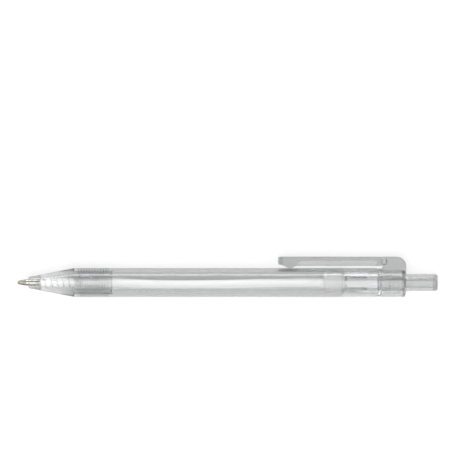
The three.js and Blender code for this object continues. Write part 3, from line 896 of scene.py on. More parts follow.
@dataclass(frozen=True)
class Comb:
    """Fins or ribs, evenly spaced about the pen's axis.

    Attributes:
        count: Number of fins.
        first: Angle of the first fin's middle.
        half_width: Half a fin's width.
        radius: Radius at which the width is measured.
        even: Number of evenly spaced columns.
        side: Angle that a fin's side takes.
        slack: Angle by which a column may miss a fin and still be on it.
    """

    count: int
    first: float
    half_width: float
    radius: float
    even: int = 96
    side: float = 0.012
    slack: float = 0.004

    @property
    def half(self) -> float:
        """Half a fin's width as an angle."""
        return math.asin(self.half_width / self.radius)

    def away(self, theta: np.ndarray) -> np.ndarray:
        """Angle from the nearest fin's middle."""
        step = 2 * np.pi / self.count
        return (theta - self.first + step / 2) % step - step / 2

    def angles(self) -> np.ndarray:
        """Column angles from 0 to 2 pi: evenly spaced ones, and two close pairs at each fin's sides."""
        middles = self.first + np.arange(self.count) * 2 * np.pi / self.count
        sides = np.array([-self.half - self.side, -self.half, self.half, self.half + self.side])
        at_fins = (middles[:, None] + sides[None, :]).ravel()
        angles = np.concatenate([np.arange(self.even) * 2 * np.pi / self.even, at_fins]) % (2 * np.pi)
        return np.unique(np.round(angles, 6))

    def on(self, theta: np.ndarray) -> np.ndarray:
        """Whether an angle lies on a fin."""
        return np.abs(self.away(theta)) <= self.half + self.slack

    def across(self, theta: np.ndarray) -> np.ndarray:
        """From -1 to 1 across each fin, by the angle from its middle."""
        return np.clip(self.away(theta) / self.half, -1, 1)


@dataclass
class ClickUnit:
    """Sleeve, rotor and plunger of the click mechanism."""

    teeth: int = 8
    tooth_depth: float = 0.8
    tooth_gap: float = 0.02
    tooth_sharp: float = 25.0
    fin_count: int = 4
    fin_half: float = 0.3
    guide_half: float = 0.6
    first_fin: float = math.pi / 4
    slant: float = 1.07
    rib_length: float = 6.9
    bead_sink: float = 0.06
    tail_radius: float = 4.11
    tail_short: float = 1.35
    snap_rings: int = 4
    snap_pitch: float = 1.5
    snap_size: float = 0.15
    rotor_socket: float = 1.55
    socket_depth: float = 1.5
    rotor_bore: float = 1.3
    flange: float = 1.2
    pin_radius: float = 1.2
    pin_length: float = 2.2
    guide_gap: float = 0.15
    neck: float = 2.25
    tenon: float = 1.96
    tenon_length: float = 6.0

    def crown(self, theta: np.ndarray) -> np.ndarray:
        """Depth below the crests: tooth_depth * |2 * phase - 1|, phase going from 0 to 1 over a tooth."""
        phase = (theta * self.teeth / (2 * np.pi)) % 1
        return self.tooth_depth * np.abs(2 * phase - 1)

    def toothed_angles(self, comb: Comb) -> np.ndarray:
        """Column angles of a comb, with eight more in each tooth."""
        teeth = np.arange(8 * self.teeth) * np.pi / (4 * self.teeth)
        return np.unique(np.round(np.concatenate([comb.angles(), teeth]), 5))

    def sleeve(self, dresser: Dresser) -> None:
        """Clear sleeve: four slanted ribs inside, a bead before the collar, and snap rings in the collar."""
        bead_x, bore, end = AT.barrel_end + GAP, AT.sleeve_bore, AT.collar_end - self.tail_short
        front = [(AT.sleeve_front, bore, 0), (AT.sleeve_front, AT.sleeve, 0.1), (bead_x, AT.sleeve, 0)]
        size = (AT.collar_front - bead_x) / 2
        bead = circle_arc(bead_x + size, AT.casing - self.bead_sink - size, size, 180, 0, 14)
        ring_x = AT.collar_front + self.snap_pitch * (1 + np.arange(self.snap_rings))
        rings = [circle_arc(x, self.tail_radius, self.snap_size, 180, 0, 6) for x in ring_x]
        guide = [(end, self.tail_radius), (end, AT.guide), (AT.shoulder, AT.guide), (AT.shoulder, bore)]
        ribs = [(AT.rib_front + self.rib_length, bore)] * 2 + [(AT.rib_front, bore)] * 2
        outside = [filleted(front, closed=False), bead, [(AT.collar_front, self.tail_radius)], *rings]
        profile = np.vstack([*outside, guide, ribs])
        comb = Comb(self.fin_count, self.first_fin, self.fin_half, bore)
        angles = comb.angles()
        shell = turned(profile, angles)
        x, radius, theta = polar(shell.points)
        row = np.arange(len(x)) // len(angles)
        rear_tip, front_tip = len(profile) - 3, len(profile) - 2
        radius = np.where(np.isin(row, [rear_tip, front_tip]) & comb.on(theta), AT.rib_tips, radius)
        slanted = x + self.slant * (0.5 - 0.5 * comb.across(theta))
        shell.points = from_polar(np.where((row >= front_tip) & comb.on(theta), slanted, x), radius, theta)
        sleeve = mesh_object("cam_sleeve_clear", shell)
        dresser.dress(sleeve, dresser.finishes.inner, "barrel", "cam_sleeve")

    def rotor(self, dresser: Dresser) -> None:
        """White rotor: a flange, four fins with slanted rears, and teeth on its rear edge."""
        front, end = AT.rotor_front, AT.rotor_end
        socket_end, fins_start = front + self.socket_depth, front + self.flange
        outside = filleted(
            [
                (front, self.rotor_socket, 0.1),
                (front, AT.fins, 0.25),
                (fins_start, AT.fins, 0.08),
                (fins_start, AT.core, 0),
            ],
            closed=False,
        )
        rear = [(end - self.slant, AT.core)] * 2 + [(end, AT.core), (end, self.rotor_bore)]
        profile = np.vstack([outside, rear, [(socket_end, self.rotor_bore), (socket_end, self.rotor_socket)]])
        comb = Comb(self.fin_count, self.first_fin, self.fin_half, AT.core)
        angles = self.toothed_angles(comb)
        shell = turned(profile, angles)
        x, radius, theta = polar(shell.points)
        row = np.arange(len(x)) // len(angles)
        first, on_fin, teeth = len(outside), comb.on(theta), end - self.crown(theta)
        radius = np.where(np.isin(row, [first - 1, first]) & on_fin, AT.fins, radius)
        fin_ends = np.isin(row, [first, first + 1])
        x = np.where(fin_ends & on_fin, x + self.slant * (0.5 - 0.5 * comb.across(theta)), x)
        x = np.where(np.isin(row, [first + 2, first + 3]), teeth, x)
        x = np.where(fin_ends, np.minimum(x, teeth - self.tooth_gap), x)
        shell.points = from_polar(x, radius, theta)
        rotor = mesh_object("rotor_white", shell, self.tooth_sharp)
        dresser.dress(rotor, dresser.finishes.white, "rotor", "rotor")

    def plunger(self, dresser: Dresser) -> None:
        """Clear plunger: pin, toothed crown, four guides, neck and the tenon in the button."""
        head, head_end = AT.head_front, AT.head_end
        pin_front, guide_front = head - self.pin_length, head + self.tooth_depth + self.guide_gap
        neck_end, tenon_end = AT.button_front - GAP, AT.button_front + self.tenon_length
        pin = filleted(
            [(pin_front, 0, 0), (pin_front, self.pin_radius, 0.2), (head, self.pin_radius, 0)], closed=False
        )
        crown = [(head, AT.core)] + [(guide_front, AT.core)] * 2 + [(head_end, AT.core)] * 2
        neck = filleted(
            [
                (head_end, self.neck, 0.3),
                (neck_end, self.neck, 0.1),
                (neck_end, self.tenon, 0.02),
                (tenon_end, self.tenon, 0.25),
                (tenon_end, 0, 0),
            ],
            closed=False,
        )
        comb = Comb(self.fin_count, 0, self.guide_half, AT.core)
        angles = self.toothed_angles(comb)
        shell = turned(np.vstack([pin, crown, neck]), angles, closed=False)
        x, radius, theta = polar(shell.points)
        row = np.arange(len(x)) // len(angles)
        first = len(pin)
        radius = np.where(np.isin(row, [first + 2, first + 3]) & comb.on(theta), AT.fins, radius)
        x = np.where(np.isin(row, [first - 1, first]), head + self.crown(theta), x)
        shell.points = from_polar(x, radius, theta)
        plunger = mesh_object("plunger_clear", shell, self.tooth_sharp)
        dresser.dress(plunger, dresser.finishes.inner, "button", "plunger")

    def build(self, dresser: Dresser) -> None:
        """Builds the three pieces."""
        self.sleeve(dresser)
        self.rotor(dresser)
        self.plunger(dresser)


def pivot_strip(front: float, radius: float) -> np.ndarray:
    """Side view of a strip with a half round end about the clip's pivot, for the tongue and its socket."""
    curve = circle_arc(AT.pivot_x, AT.pivot_z, radius, -90, 90, 24)
    return np.vstack([[(front, AT.pivot_z - radius)], curve, [(front, AT.pivot_z + radius)]])


@dataclass
class Collar:
    """Clear ring with a domed rear face and the block that holds the clip."""

    wall: float = 0.7
    end_wall: float = 1.3
    dome: float = 0.6
    block_edge: float = 0.35
    block_corner: float = 3.3
    socket_radius: float = 1.2
    socket_half: float = 1.85
    socket_edge: float = 0.4
    socket_reach: float = 3.0
    drill_reach: float = 2.0

    def block(self) -> np.ndarray:
        """Side view of the block: a square front and a rear corner of a quarter circle."""
        low, corner = AT.casing - 2 * self.wall, AT.clip_top - self.block_corner
        curve = circle_arc(AT.collar_end - self.block_corner, corner, self.block_corner, 0, 90, 16)
        foot = [(AT.block_front, low), (AT.collar_end, low)]
        return np.vstack([foot, curve, [(AT.block_front, AT.clip_top)]])

    def build(self, dresser: Dresser) -> None:
        """Builds and dresses the collar, whose bore is stepped for the sleeve and the button."""
        front, end, radius = AT.collar_front + GAP, AT.collar_end, AT.casing
        outside = filleted(
            [
                (front, 0, 0),
                (front, radius, 0.2),
                (end - self.dome, radius, 0.25),
                (end - self.dome / 4, (radius + AT.guide) / 2, 2.5),
                (end, AT.guide, 0),
                (end, 0, 0),
            ],
            steps=7,
            closed=False,
        )
        drill_start, drill_end = front - self.drill_reach, end + self.drill_reach
        bore, bore_end = radius - self.wall, end - self.end_wall
        stepped = [(drill_start, 0), (drill_start, bore), (bore_end, bore)]
        stepped += [(bore_end, AT.guide), (drill_end, AT.guide), (drill_end, 0)]
        socket = pivot_strip(AT.block_front - self.socket_reach, self.socket_radius)
        collar = mesh_object("collar_clear", turned(outside, closed=False))
        block = extruded(self.block(), AT.clip_half, self.block_edge)
        combine(collar, mesh_object("block", block), Cut.JOIN)
        combine(collar, mesh_object("drill", turned(np.array(stepped), closed=False)), Cut.TAKE)
        combine(collar, mesh_object("socket", extruded(socket, self.socket_half, self.socket_edge)), Cut.TAKE)
        dresser.dress(collar, dresser.finishes.clear, "barrel", "collar")


def quarter_drop(share: np.ndarray) -> np.ndarray:
    """Drop of a rounded edge: a quarter circle that falls from 1 at a share of 0 to 0 at a share of 1."""
    return 1 - np.sqrt(1 - (1 - np.clip(share, 0, 1)) ** 2)


def corner_rows(
    y: np.ndarray, z: np.ndarray, size: np.ndarray, start: float, end: float, steps: int = 5
) -> np.ndarray:
    """Arcs about (y, z), one for each section, between two angles in degrees."""
    a = np.radians(np.linspace(start, end, steps + 1))[None, :]
    size = size[:, None]
    return np.stack([y[:, None] + size * np.cos(a), z[:, None] + size * np.sin(a)], axis=-1)


@dataclass
class Clip:
    """Clear clip: a channelled arm with a pad near its tip and a round tongue in the block."""

    thickness: float = 3.15
    edge: float = 0.35
    nose_radius: float = 2.2
    tip_rise: float = 0.4
    tip_edge: float = 0.7
    tip_run: float = 0.8
    pad_start: float = 2.9
    pad_length: float = 2.4
    pad_low: float = 5.05
    pad_flare: float = 0.42
    channel_half: float = 1.45
    channel_start: float = 7.0
    channel_stop: float = 1.6
    channel_round: float = 0.35
    roof: float = 1.3
    rear_gap: float = 0.2
    tongue_radius: float = 1.0
    tongue_half: float = 1.65
    tongue_edge: float = 0.5
    tongue_reach: float = 0.3

    def lower_edge(self, x: np.ndarray) -> np.ndarray:
        """Underside along the arm: raised at the tip, down to the flat pad, and straight on to the block."""
        under = AT.clip_top - self.thickness
        pad, pad_end, run = self.pad_start, self.pad_start + self.pad_length, self.pad_length / 4
        flare = under - self.pad_flare
        knots = [(self.tip_run, under + self.tip_rise), (pad - run, under), (pad - 0.2 * run, flare)]
        knots += [(pad + run, self.pad_low), (pad_end - run, self.pad_low)]
        knots += [(pad_end + 0.2 * run, flare), (pad_end + run, under)]
        along = x - AT.clip_tip
        low = np.interp(along, *np.array(knots).T)
        kernel = np.exp(-np.linspace(-2, 2, 9) ** 2)
        smooth = np.convolve(np.pad(low, 4, mode="edge"), kernel / kernel.sum(), mode="valid")
        flat = np.abs(along - pad - self.pad_length / 2) < self.pad_length / 4
        return np.where(flat, self.pad_low, np.maximum(smooth, self.pad_low))

    def stations(self, start: float, stop: float, rear: float) -> np.ndarray:
        """Places of the sections: close at the tip, the pad and the channel's ends, wide between them."""
        tip = AT.clip_tip + self.nose_radius * (1 - np.cos(np.linspace(0, np.pi / 2, 22)))
        pad = np.arange(AT.clip_tip + 2.4, AT.clip_tip + 6.4, 0.15)
        inward = np.array([-0.001, 0, 0.1, 0.4])
        middle = np.linspace(AT.clip_tip + 8, stop - 0.6, 40)
        behind = np.linspace(stop + 0.1, rear, 6)
        return np.unique(np.concatenate([tip, pad, start + inward, stop - inward, middle, behind]))

    def sections(self) -> Shell:
        """Lofts the arm through cross-sections along x.

        Each section is a rounded rectangle whose underside is notched by the channel. At the tip the
        half-width follows a circle of the nose radius, and the height has two corners rounded by the tip's
        edge.
        """
        rear = AT.block_front - self.rear_gap
        start, stop = AT.clip_tip + self.channel_start, AT.block_front - self.channel_stop
        x = self.stations(start, stop, rear)
        along, corner = x - AT.clip_tip, self.tip_edge
        half = AT.clip_half - self.nose_radius * quarter_drop(along / self.nose_radius)
        bulge = corner * quarter_drop(along / corner)
        high, low = AT.clip_top - bulge, self.lower_edge(x)
        low = np.where(along < corner, AT.clip_top - self.thickness + self.tip_rise + bulge, low)
        inside = (x >= start) & (x <= stop)
        depth = np.minimum(x - start, stop - x) / self.channel_round
        roof = self.roof + self.channel_round * quarter_drop(depth)
        ceiling = np.where(inside, AT.clip_top - roof, low)
        channel = np.minimum(self.channel_half, half - 0.3)
        edge = np.minimum(self.edge, np.minimum(half, (high - low) / 2) * 0.999)
        rear_size = self.edge * 0.6
        rear_round = rear_size * quarter_drop((rear - x) / rear_size)
        high, low, half = high - rear_round, low + rear_round * 0.3, half - rear_round
        return self.loft(x, half, low, high, ceiling, channel, edge)

    def loft(
        self,
        x: np.ndarray,
        half: np.ndarray,
        low: np.ndarray,
        high: np.ndarray,
        ceiling: np.ndarray,
        channel: np.ndarray,
        edge: np.ndarray,
    ) -> Shell:
        """Joins the arm's sections.

        Args:
            x: Place of each section.
            half: Half its width.
            low: Its underside.
            high: Its top.
            ceiling: The channel's roof, or the underside where there is no channel.
            channel: Half the channel's width.
            edge: Radius of its outer edges.

        Returns:
            The closed surface, its two ends drawn together in their middles.
        """
        lip = np.minimum(0.12, np.maximum(ceiling - low, 0) / 3)
        vault = np.minimum(0.3, np.maximum(ceiling - low, 0) / 3)
        corners = [
            corner_rows(channel + lip, low + lip, lip, 180, 270, 3),
            corner_rows(half - edge, low + edge, edge, 270, 360),
            corner_rows(half - edge, high - edge, edge, 0, 90),
            corner_rows(edge - half, high - edge, edge, 90, 180),
            corner_rows(edge - half, low + edge, edge, 180, 270),
            corner_rows(-channel - lip, low + lip, lip, 270, 360, 3),
            corner_rows(vault - channel, ceiling - vault, vault, 180, 90, 4),
            corner_rows(channel - vault, ceiling - vault, vault, 90, 0, 4),
        ]
        outline = np.concatenate(corners, axis=1)
        around = outline.shape[1]
        ends = (outline[:1], outline[-1:])
        tip, rear = (row.mean(axis=1, keepdims=True).repeat(around, axis=1) for row in ends)
        rows = np.concatenate([tip, outline, rear])
        stations = np.concatenate([x[:1], x, x[-1:]])
        points = np.column_stack([np.repeat(stations, around), rows.reshape(-1, 2)])
        return Shell(points, grid_quads(len(rows), around, False, True))

    def build(self, dresser: Dresser) -> None:
        """Builds and dresses the clip."""
        clip = mesh_object("clip_clear", self.sections())
        strip = pivot_strip(AT.block_front - self.channel_stop - self.tongue_reach, self.tongue_radius)
        tongue = mesh_object("tongue", extruded(strip, self.tongue_half, self.tongue_edge))
        combine(clip, tongue, Cut.JOIN)
        # The clip takes the darkest clear copy, whose grey tint is painted shade.
        dresser.dress(clip, dresser.finishes.handled, "clip", "clip")


@dataclass
class Button:
    """Clear round button, open at the front for the plunger's tenon."""

    radius: float = 2.95
    bore: float = 2.0
    edge: float = 1.0
    end_wall: float = 1.8

    def build(self, dresser: Dresser) -> None:
        """Builds and dresses the button."""
        floor, front, end = AT.button_end - self.end_wall, AT.button_front, AT.button_end
        rim = end - self.edge
        wall = [
            (floor, self.bore, 0.25),
            (front, self.bore, 0.15),
            (front, self.radius, 0.12),
            (rim, self.radius, 0),
        ]
        corner = circle_arc(rim, self.radius - self.edge, self.edge, 90, 0, 14)
        profile = np.vstack([[(floor, 0)], filleted(wall, closed=False), corner[1:], [(end, 0)]])
        button = mesh_object("push_button_clear", turned(profile, closed=False))
        # The button takes the darkest clear copy, whose grey tint is painted shade.
        dresser.dress(button, dresser.finishes.handled, "button", "push_button")


@dataclass
class Refill:
    """White tube of ink with its adapter, metal point and ball."""

    tube_radius: float = 1.45
    tube_bore: float = 1.0
    tube_start: float = 8.55
    tube_end: float = 103.2
    adapter_start: float = 4.05
    adapter_shoulder: float = 5.9
    plug_radius: float = 0.96
    plug_length: float = 4.0
    grip_grooves: int = 2
    grip_pitch: float = 0.7
    grip_size: float = 0.16
    ear_x: float = 27.5
    ear_half: float = 2.3
    ear_length: float = 3.2
    ear_thickness: float = 1.5
    ball_radius: float = 0.5
    ball_x: float = -3.4
    ball_gap: float = 0.04
    lip_offset: float = 0.16
    point_radius: float = 1.15
    neck_radius: float = 1.0
    neck_length: float = 2.1
    tail_radius: float = 0.8
    tail_bore: float = 0.84
    tail_length: float = 3.0
    channel: float = 0.35
    ink_length: float = 58.0
    sag: float = 0.7
    sag_shift: float = 0.6

    def eared(self, points: np.ndarray) -> np.ndarray:
        """Draws the ears out of the tube's outside.

        Across an ear the radius is that of a rectangle, the lesser of reach / |cos| and half the thickness /
        |sin|, where it is greater than the tube's own. The reach shrinks along the ear until the tube
        hides it.
        """
        x, radius, theta = polar(points)
        along = (x - self.ear_x) / self.ear_length
        reach = self.ear_half + (self.tube_bore - self.ear_half) * np.clip((along - 1 / 3) * 1.5, 0, 1)
        ends = reach / np.maximum(np.abs(np.cos(theta)), 1e-6)
        sides = self.ear_thickness / 2 / np.maximum(np.abs(np.sin(theta)), 1e-6)
        on_ear = (along > -0.001) & (along < 1.001) & (radius > self.tube_radius - 0.01)
        return from_polar(x, np.where(on_ear, np.maximum(radius, np.minimum(ends, sides)), radius), theta)

    def sagging(self, points: np.ndarray) -> np.ndarray:
        """Bends the tube as it lies in the barrel.

        With s from 0 behind the ears to 1 at the rotor, the tube moves away from the clip by
        sag * sin(pi * s^sag_shift)^2.
        """
        start = self.ear_x + self.ear_length
        s = np.clip((points[:, 0] - start) / (AT.rotor_front - start), 0, 1)
        drop = self.sag * np.sin(np.pi * s**self.sag_shift) ** 2
        return points - np.column_stack([np.zeros_like(s), np.zeros_like(s), drop])

    def tube_profile(self) -> np.ndarray:
        """Outline of the tube, outside first, with close rows at the ears and even ones where it bends."""
        start, end, outer, bore = self.tube_start, self.tube_end, self.tube_radius, self.tube_bore
        ear = np.linspace(self.ear_x, self.ear_x + self.ear_length, 14)
        rear = [(end - 0.1, outer, 0), (end, outer, 0.08), (end, bore, 0.08), (end - 0.2, bore, 0)]
        return np.vstack(
            [
                [(start, bore + 0.08), (start, outer - 0.06)],
                [(start + 0.06, outer), (self.ear_x - 0.002, outer)],
                [(x, outer) for x in ear],
                [(x, outer) for x in np.linspace(ear[-1] + 0.002, end - 0.2, 60)],
                filleted(rear, closed=False),
                [(x, bore) for x in np.linspace(end - 0.3, start + 0.1, 90)],
            ]
        )

    def tube(self, dresser: Dresser) -> None:
        """Milky tube with two ears for the spring, with columns at the ears' corners and feet."""
        corner = math.atan2(self.ear_thickness / 2, self.ear_half)
        foot = math.asin(self.ear_thickness / 2 / self.tube_radius)
        at_ears = [a for half in (corner, foot) for a in (half, np.pi - half, np.pi + half, 2 * np.pi - half)]
        angles = np.unique(np.round(np.concatenate([np.arange(64) * np.pi / 32, at_ears]), 5))
        shell = turned(self.tube_profile(), angles)
        shell.points = self.sagging(self.eared(shell.points))
        tube = mesh_object("refill_tube_white", shell)
        dresser.dress(tube, dresser.finishes.tube, "refill", "refill_tube")

    def adapter(self, dresser: Dresser) -> None:
        """Plug between the point and the tube, with shallow grip grooves on its collar."""
        front, shoulder, end = self.adapter_start, self.tube_start - GAP, self.tube_start + self.plug_length
        collar, outer, step = self.adapter_shoulder, self.tube_radius, front + self.tail_length + GAP
        head = [
            (front, self.tail_bore, 0.03),
            (front, self.point_radius, 0.08),
            (collar, self.point_radius, 0.05),
            (collar, outer, 0.12),
            (collar + 0.5, outer, 0),
        ]
        groove_x = collar + 0.9 + self.grip_pitch * np.arange(self.grip_grooves)
        grooves = [circle_arc(x, outer + 0.05, self.grip_size, 200, 340, 6) for x in groove_x]
        plug = [
            (shoulder - 0.5, outer, 0),
            (shoulder, outer, 0.1),
            (shoulder, self.plug_radius, 0),
            (end, self.plug_radius, 0.1),
            (end, self.channel, 0),
            (step, self.channel, 0),
            (step, self.tail_bore, 0),
        ]
        profile = np.vstack([filleted(head, closed=False), *grooves, filleted(plug, closed=False)])
        adapter = mesh_object("tip_adapter_white", turned(profile, 64))
        dresser.dress(adapter, dresser.finishes.tube, "refill", "tip_adapter")

    def point(self, dresser: Dresser) -> None:
        """Turned metal point: cone with a rolled lip, a step to the shank, and a tail in the adapter."""
        seat = self.ball_radius + self.ball_gap
        lip_x = self.ball_x - self.lip_offset
        neck = lip_x + self.neck_length
        shank_end, tail_end = self.adapter_start - GAP, self.adapter_start + self.tail_length
        lip_angle = math.degrees(math.acos(-self.lip_offset / seat))
        channel = math.degrees(math.asin(self.channel / seat))
        outside = filleted(
            [
                (lip_x, seat * math.sin(math.radians(lip_angle)) + 0.1, 0.06),
                (lip_x + 0.35, 0.7, 0.3),
                (neck, self.neck_radius, 0.12),
                (neck + 0.35, self.neck_radius, 0.05),
                (neck + 0.5, self.point_radius, 0.06),
                (neck + 4.3, self.point_radius, 0.03),
                (neck + 4.4, self.point_radius - 0.05, 0.03),
                (neck + 4.7, self.point_radius - 0.05, 0.03),
                (neck + 4.8, self.point_radius, 0.03),
                (shank_end, self.point_radius, 0.08),
                (shank_end, self.tail_radius, 0),
                (tail_end, self.tail_radius, 0.1),
                (tail_end, self.channel, 0),
            ],
            closed=False,
        )
        inside = circle_arc(self.ball_x, 0, seat, channel, lip_angle, 12)
        point = mesh_object("point_metal", turned(np.vstack([outside, inside]), 64))
        dresser.dress(point, dresser.finishes.silver, "refill", "point")
        # Faces ahead of the step take the darker cone metal: partly another metal, partly painted shade for
        # the tip's dark reflections.
        point.data.materials.append(dresser.finishes.cone_metal)
        centres = np.empty(len(point.data.polygons) * 3, np.float32)
        point.data.polygons.foreach_get("center", centres)
        step_x = AXIS.place(np.array([[neck + 0.4, 0.0, 0.0]]))[0, 0]
        point.data.polygons.foreach_set("material_index", (centres[::3] < step_x).astype(np.int32))

    def ball(self, dresser: Dresser) -> None:
        """The writing ball."""
        profile = circle_arc(self.ball_x, 0, self.ball_radius, 180, 0, 24)
        ball = mesh_object("writing_ball_metal", turned(profile, 48, closed=False))
        dresser.dress(ball, dresser.finishes.carbide, "ball", "writing_ball")

    def ink(self, dresser: Dresser) -> None:
        """The ink in the tube, with a hollow rear end where it wets the wall."""
        start, radius = self.tube_start + self.plug_length + GAP, self.plug_radius
        end = start + self.ink_length
        meniscus = circle_arc(end, 0, radius, 90, 180, 8)
        wall = [(x, radius) for x in np.linspace(start, end - 1.2, 60)]
        profile = np.vstack([[(start, 0)], wall, meniscus[:-1], [(end - radius, 0)]])
        shell = turned(profile, 48, closed=False)
        shell.points = self.sagging(shell.points)
        ink = mesh_object("ink_column_black", shell)
        dresser.dress(ink, dresser.finishes.ink, "refill", "ink_column")

    def build(self, dresser: Dresser) -> None:
        """Builds the five pieces."""
        self.tube(dresser)
        self.adapter(dresser)
        self.point(dresser)
        self.ball(dresser)
        self.ink(dresser)


@dataclass
class ReturnSpring:
    """Steel wire wound open in the cone and closer in the spigot."""

    wire: float = 0.16
    radius: float = 1.8
    start: float = 4.76
    end: float = 27.04
    open_coils: float = 5.5
    open_pitch: float = 2.1
    close_pitch: float = 0.82
    steps: int = 36
    sides: int = 12
    sharp: float = 50.0

    def coil(self) -> np.ndarray:
        """Middle line: x grows by the pitch a turn, y = radius * cos(angle), z = radius * sin(angle)."""
        open_end = self.start + self.open_coils * self.open_pitch
        coils = self.open_coils + (self.end - open_end) / self.close_pitch
        turns = np.linspace(0, coils, round(coils * self.steps) + 1)
        close = np.maximum(turns - self.open_coils, 0)
        x = self.start + (turns - close) * self.open_pitch + close * self.close_pitch
        angle = turns * 2 * np.pi
        return np.column_stack([x, self.radius * np.cos(angle), self.radius * np.sin(angle)])

    def build(self, dresser: Dresser) -> None:
        """Carries a circle along the coil, gives the wire its steel and fixes it in the frame on no body."""
        line = self.coil()
        outward = line * np.array([0, 1, 1]) / self.radius
        tangent = np.gradient(line, axis=0)
        tangent /= np.linalg.norm(tangent, axis=1)[:, None]
        other = np.cross(tangent, outward)
        around = (np.arange(self.sides) * 2 * np.pi / self.sides)[None, :, None]
        circle = outward[:, None, :] * np.cos(around) + other[:, None, :] * np.sin(around)
        middle = line[:, None, :]
        first, last = middle[:1].repeat(self.sides, 1), middle[-1:].repeat(self.sides, 1)
        rings = np.concatenate([first, middle + circle * self.wire, last])
        shell = Shell(rings.reshape(-1, 3), grid_quads(len(rings), self.sides, False, True))
        spring = mesh_object("return_spring_wire", shell, self.sharp)
        spring.data.materials.append(dresser.finishes.steel)
        low, high = AXIS.place(np.array([[self.start - self.wire, 0, 0], [self.end + self.wire, 0, 0]]))
        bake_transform(spring)
        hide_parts("return_spring")
        dresser.count += 1
        LOG.info("return_spring_wire: %d faces, bends between barrel and refill", len(spring.data.polygons))


# Studio


@dataclass(frozen=True)
class Lamp:
    """A rectangular soft lamp that points at the pen.

    Attributes:
        name: Its name.
        place: Where it stands, in metres.
        size: Its width and height, in metres.
        power: Its power in watts.
    """

    name: str
    place: tuple[float, float, float]
    size: tuple[float, float]
    power: float

    def build(self) -> None:
        """Adds the lamp to the scene."""
        data = bpy.data.lights.new(self.name, "AREA")
        data.shape = "RECTANGLE"
        data.size, data.size_y = self.size
        data.energy = self.power
        lamp = bpy.data.objects.new(self.name, data)
        bpy.context.scene.collection.objects.link(lamp)
        lamp.location = self.place
        lamp.rotation_euler = (-Vector(self.place)).to_track_quat("-Z", "Y").to_euler()


LAMPS = (
    Lamp("over_lamp", (-0.05, 0.0, 0.6), (0.8, 0.6), 3.5),
    Lamp("edge_lamp", (0.2, -0.6, 0.3), (0.7, 0.12), 0.7),
    Lamp("low_lamp", (0.0, 1.0, 0.14), (1.5, 0.2), 6.0),
)


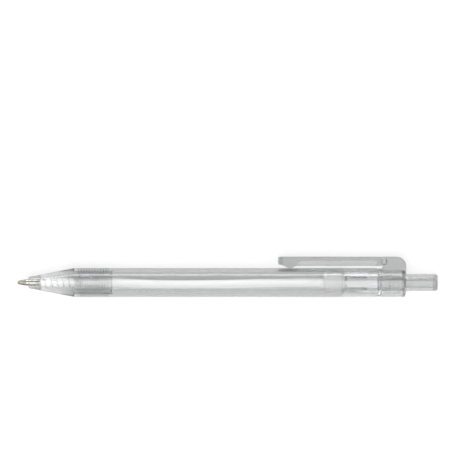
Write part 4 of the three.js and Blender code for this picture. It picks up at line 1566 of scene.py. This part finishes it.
@dataclass
class Studio:
    """White floor, soft lamps and a camera square to the clip's side, with the clip at the picture's top."""

    view_width: float = 0.15862
    centre_x: float = 0.000845
    above_axis: float = 0.0181
    distance: float = 0.6
    floor_size: float = 3.0
    floor_colour: float = 0.62
    shadow_share: float = 0.4
    wall: float = 0.4
    wall_height: float = 0.12
    ceiling: float = 0.1
    ceiling_low: float = 0.5
    ceiling_high: float = 0.9
    bounces: int = 48
    glossy_bounces: int = 24

    def camera(self) -> None:
        """Camera without perspective, square to the side of the clip."""
        cosine, sine = math.cos(AXIS.turn), math.sin(AXIS.turn)
        up = Vector((0, -sine, cosine))
        towards = Vector((0, -cosine, -sine))
        right = up.cross(towards)
        data = bpy.data.cameras.new("camera")
        data.type = "ORTHO"
        data.ortho_scale = self.view_width
        data.clip_start, data.clip_end = 0.01, 10
        camera = bpy.data.objects.new("camera", data)
        bpy.context.scene.collection.objects.link(camera)
        target = Vector((self.centre_x, AXIS.y, AXIS.z)) + up * self.above_axis
        camera.matrix_world = Matrix((right, up, towards)).transposed().to_4x4()
        camera.matrix_world.translation = target + towards * self.distance
        bpy.context.scene.camera = camera

    def floor(self) -> None:
        """Plain matt floor: white to the camera, to metal and through glass, pale grey in its bounced light.

        A share of the white takes the pen's shadow, and the rest stands at a strength of 1.
        """
        half = self.floor_size / 2
        mesh = bpy.data.meshes.new("floor")
        corners = [(-half, -half, 0), (half, -half, 0), (half, half, 0), (-half, half, 0)]
        mesh.from_pydata(corners, [], [(0, 1, 2, 3)])
        floor = bpy.data.objects.new("floor", mesh)
        bpy.context.scene.collection.objects.link(floor)
        material, nodes, out = fresh_material("floor_white")
        rays = nodes.add("ShaderNodeLightPath").outputs
        shiny = nodes.math("MAXIMUM", rays["Is Glossy Ray"], rays["Is Transmission Ray"])
        seen = nodes.math("MAXIMUM", rays["Is Camera Ray"], shiny)
        white = (1.0, 1.0, 1.0, 1.0)
        grey = nodes.add("ShaderNodeBsdfDiffuse", {"Color": (self.floor_colour,) * 3 + (1.0,)})
        matt = nodes.add("ShaderNodeBsdfDiffuse", {"Color": white})
        plain = nodes.add("ShaderNodeEmission", {"Color": white, "Strength": 1.0})
        shares = {0: self.shadow_share, 1: plain.outputs[0], 2: matt.outputs[0]}
        paper = nodes.add("ShaderNodeMixShader", shares)
        mixed = nodes.add("ShaderNodeMixShader", {0: seen, 1: grey.outputs[0], 2: paper.outputs[0]})
        material.node_tree.links.new(mixed.outputs[0], out.inputs["Surface"])
        mesh.materials.append(material)

    def sky(self) -> None:
        """World, the same for every ray: white round the horizon, grey walls and a paler ceiling above."""
        world = bpy.data.worlds.new("studio")
        bpy.context.scene.world = world
        world.use_nodes = True
        world.node_tree.nodes.clear()
        nodes = Nodes(world.node_tree)
        out = nodes.add("ShaderNodeOutputWorld")
        direction = nodes.add("ShaderNodeTexCoord").outputs["Generated"]
        height = nodes.add("ShaderNodeSeparateXYZ", {0: direction}).outputs["Z"]
        walls = {0: height, 1: 0.0, 2: self.wall_height, 3: 1.0, 4: self.wall}
        above = {0: height, 1: self.ceiling_low, 2: self.ceiling_high, 3: 0.0, 4: self.ceiling}
        fall = nodes.add("ShaderNodeMapRange", walls, interpolation_type="SMOOTHSTEP")
        rise = nodes.add("ShaderNodeMapRange", above, interpolation_type="SMOOTHSTEP")
        level = nodes.math("ADD", fall.outputs[0], rise.outputs[0])
        around = nodes.add("ShaderNodeBackground", {"Strength": level})
        around.inputs["Color"].default_value = (1, 1, 1, 1)
        world.node_tree.links.new(around.outputs[0], out.inputs["Surface"])

    def build(self) -> None:
        """Sets the whole studio."""
        self.floor()
        self.sky()
        for lamp in LAMPS:
            lamp.build()
        self.camera()
        scene = bpy.context.scene
        scene.view_settings.view_transform = "Standard"
        scene.cycles.max_bounces = self.bounces
        scene.cycles.transmission_bounces = self.bounces
        scene.cycles.glossy_bounces = self.glossy_bounces
        scene.cycles.transparent_max_bounces = self.bounces


def main() -> None:
    """Builds the pen's pieces in order from the nose to the button, then the studio."""
    logging.basicConfig(level=logging.INFO, format="%(name)s: %(message)s")
    dresser = Dresser(Finishes())
    for part in (NoseCone(), Barrel(), ClickUnit(), Collar(), Clip(), Button(), Refill(), ReturnSpring()):
        part.build(dresser)
    Studio().build()
    LOG.info("%d pieces dressed", dresser.count)


if __name__ == "__main__":
    main()
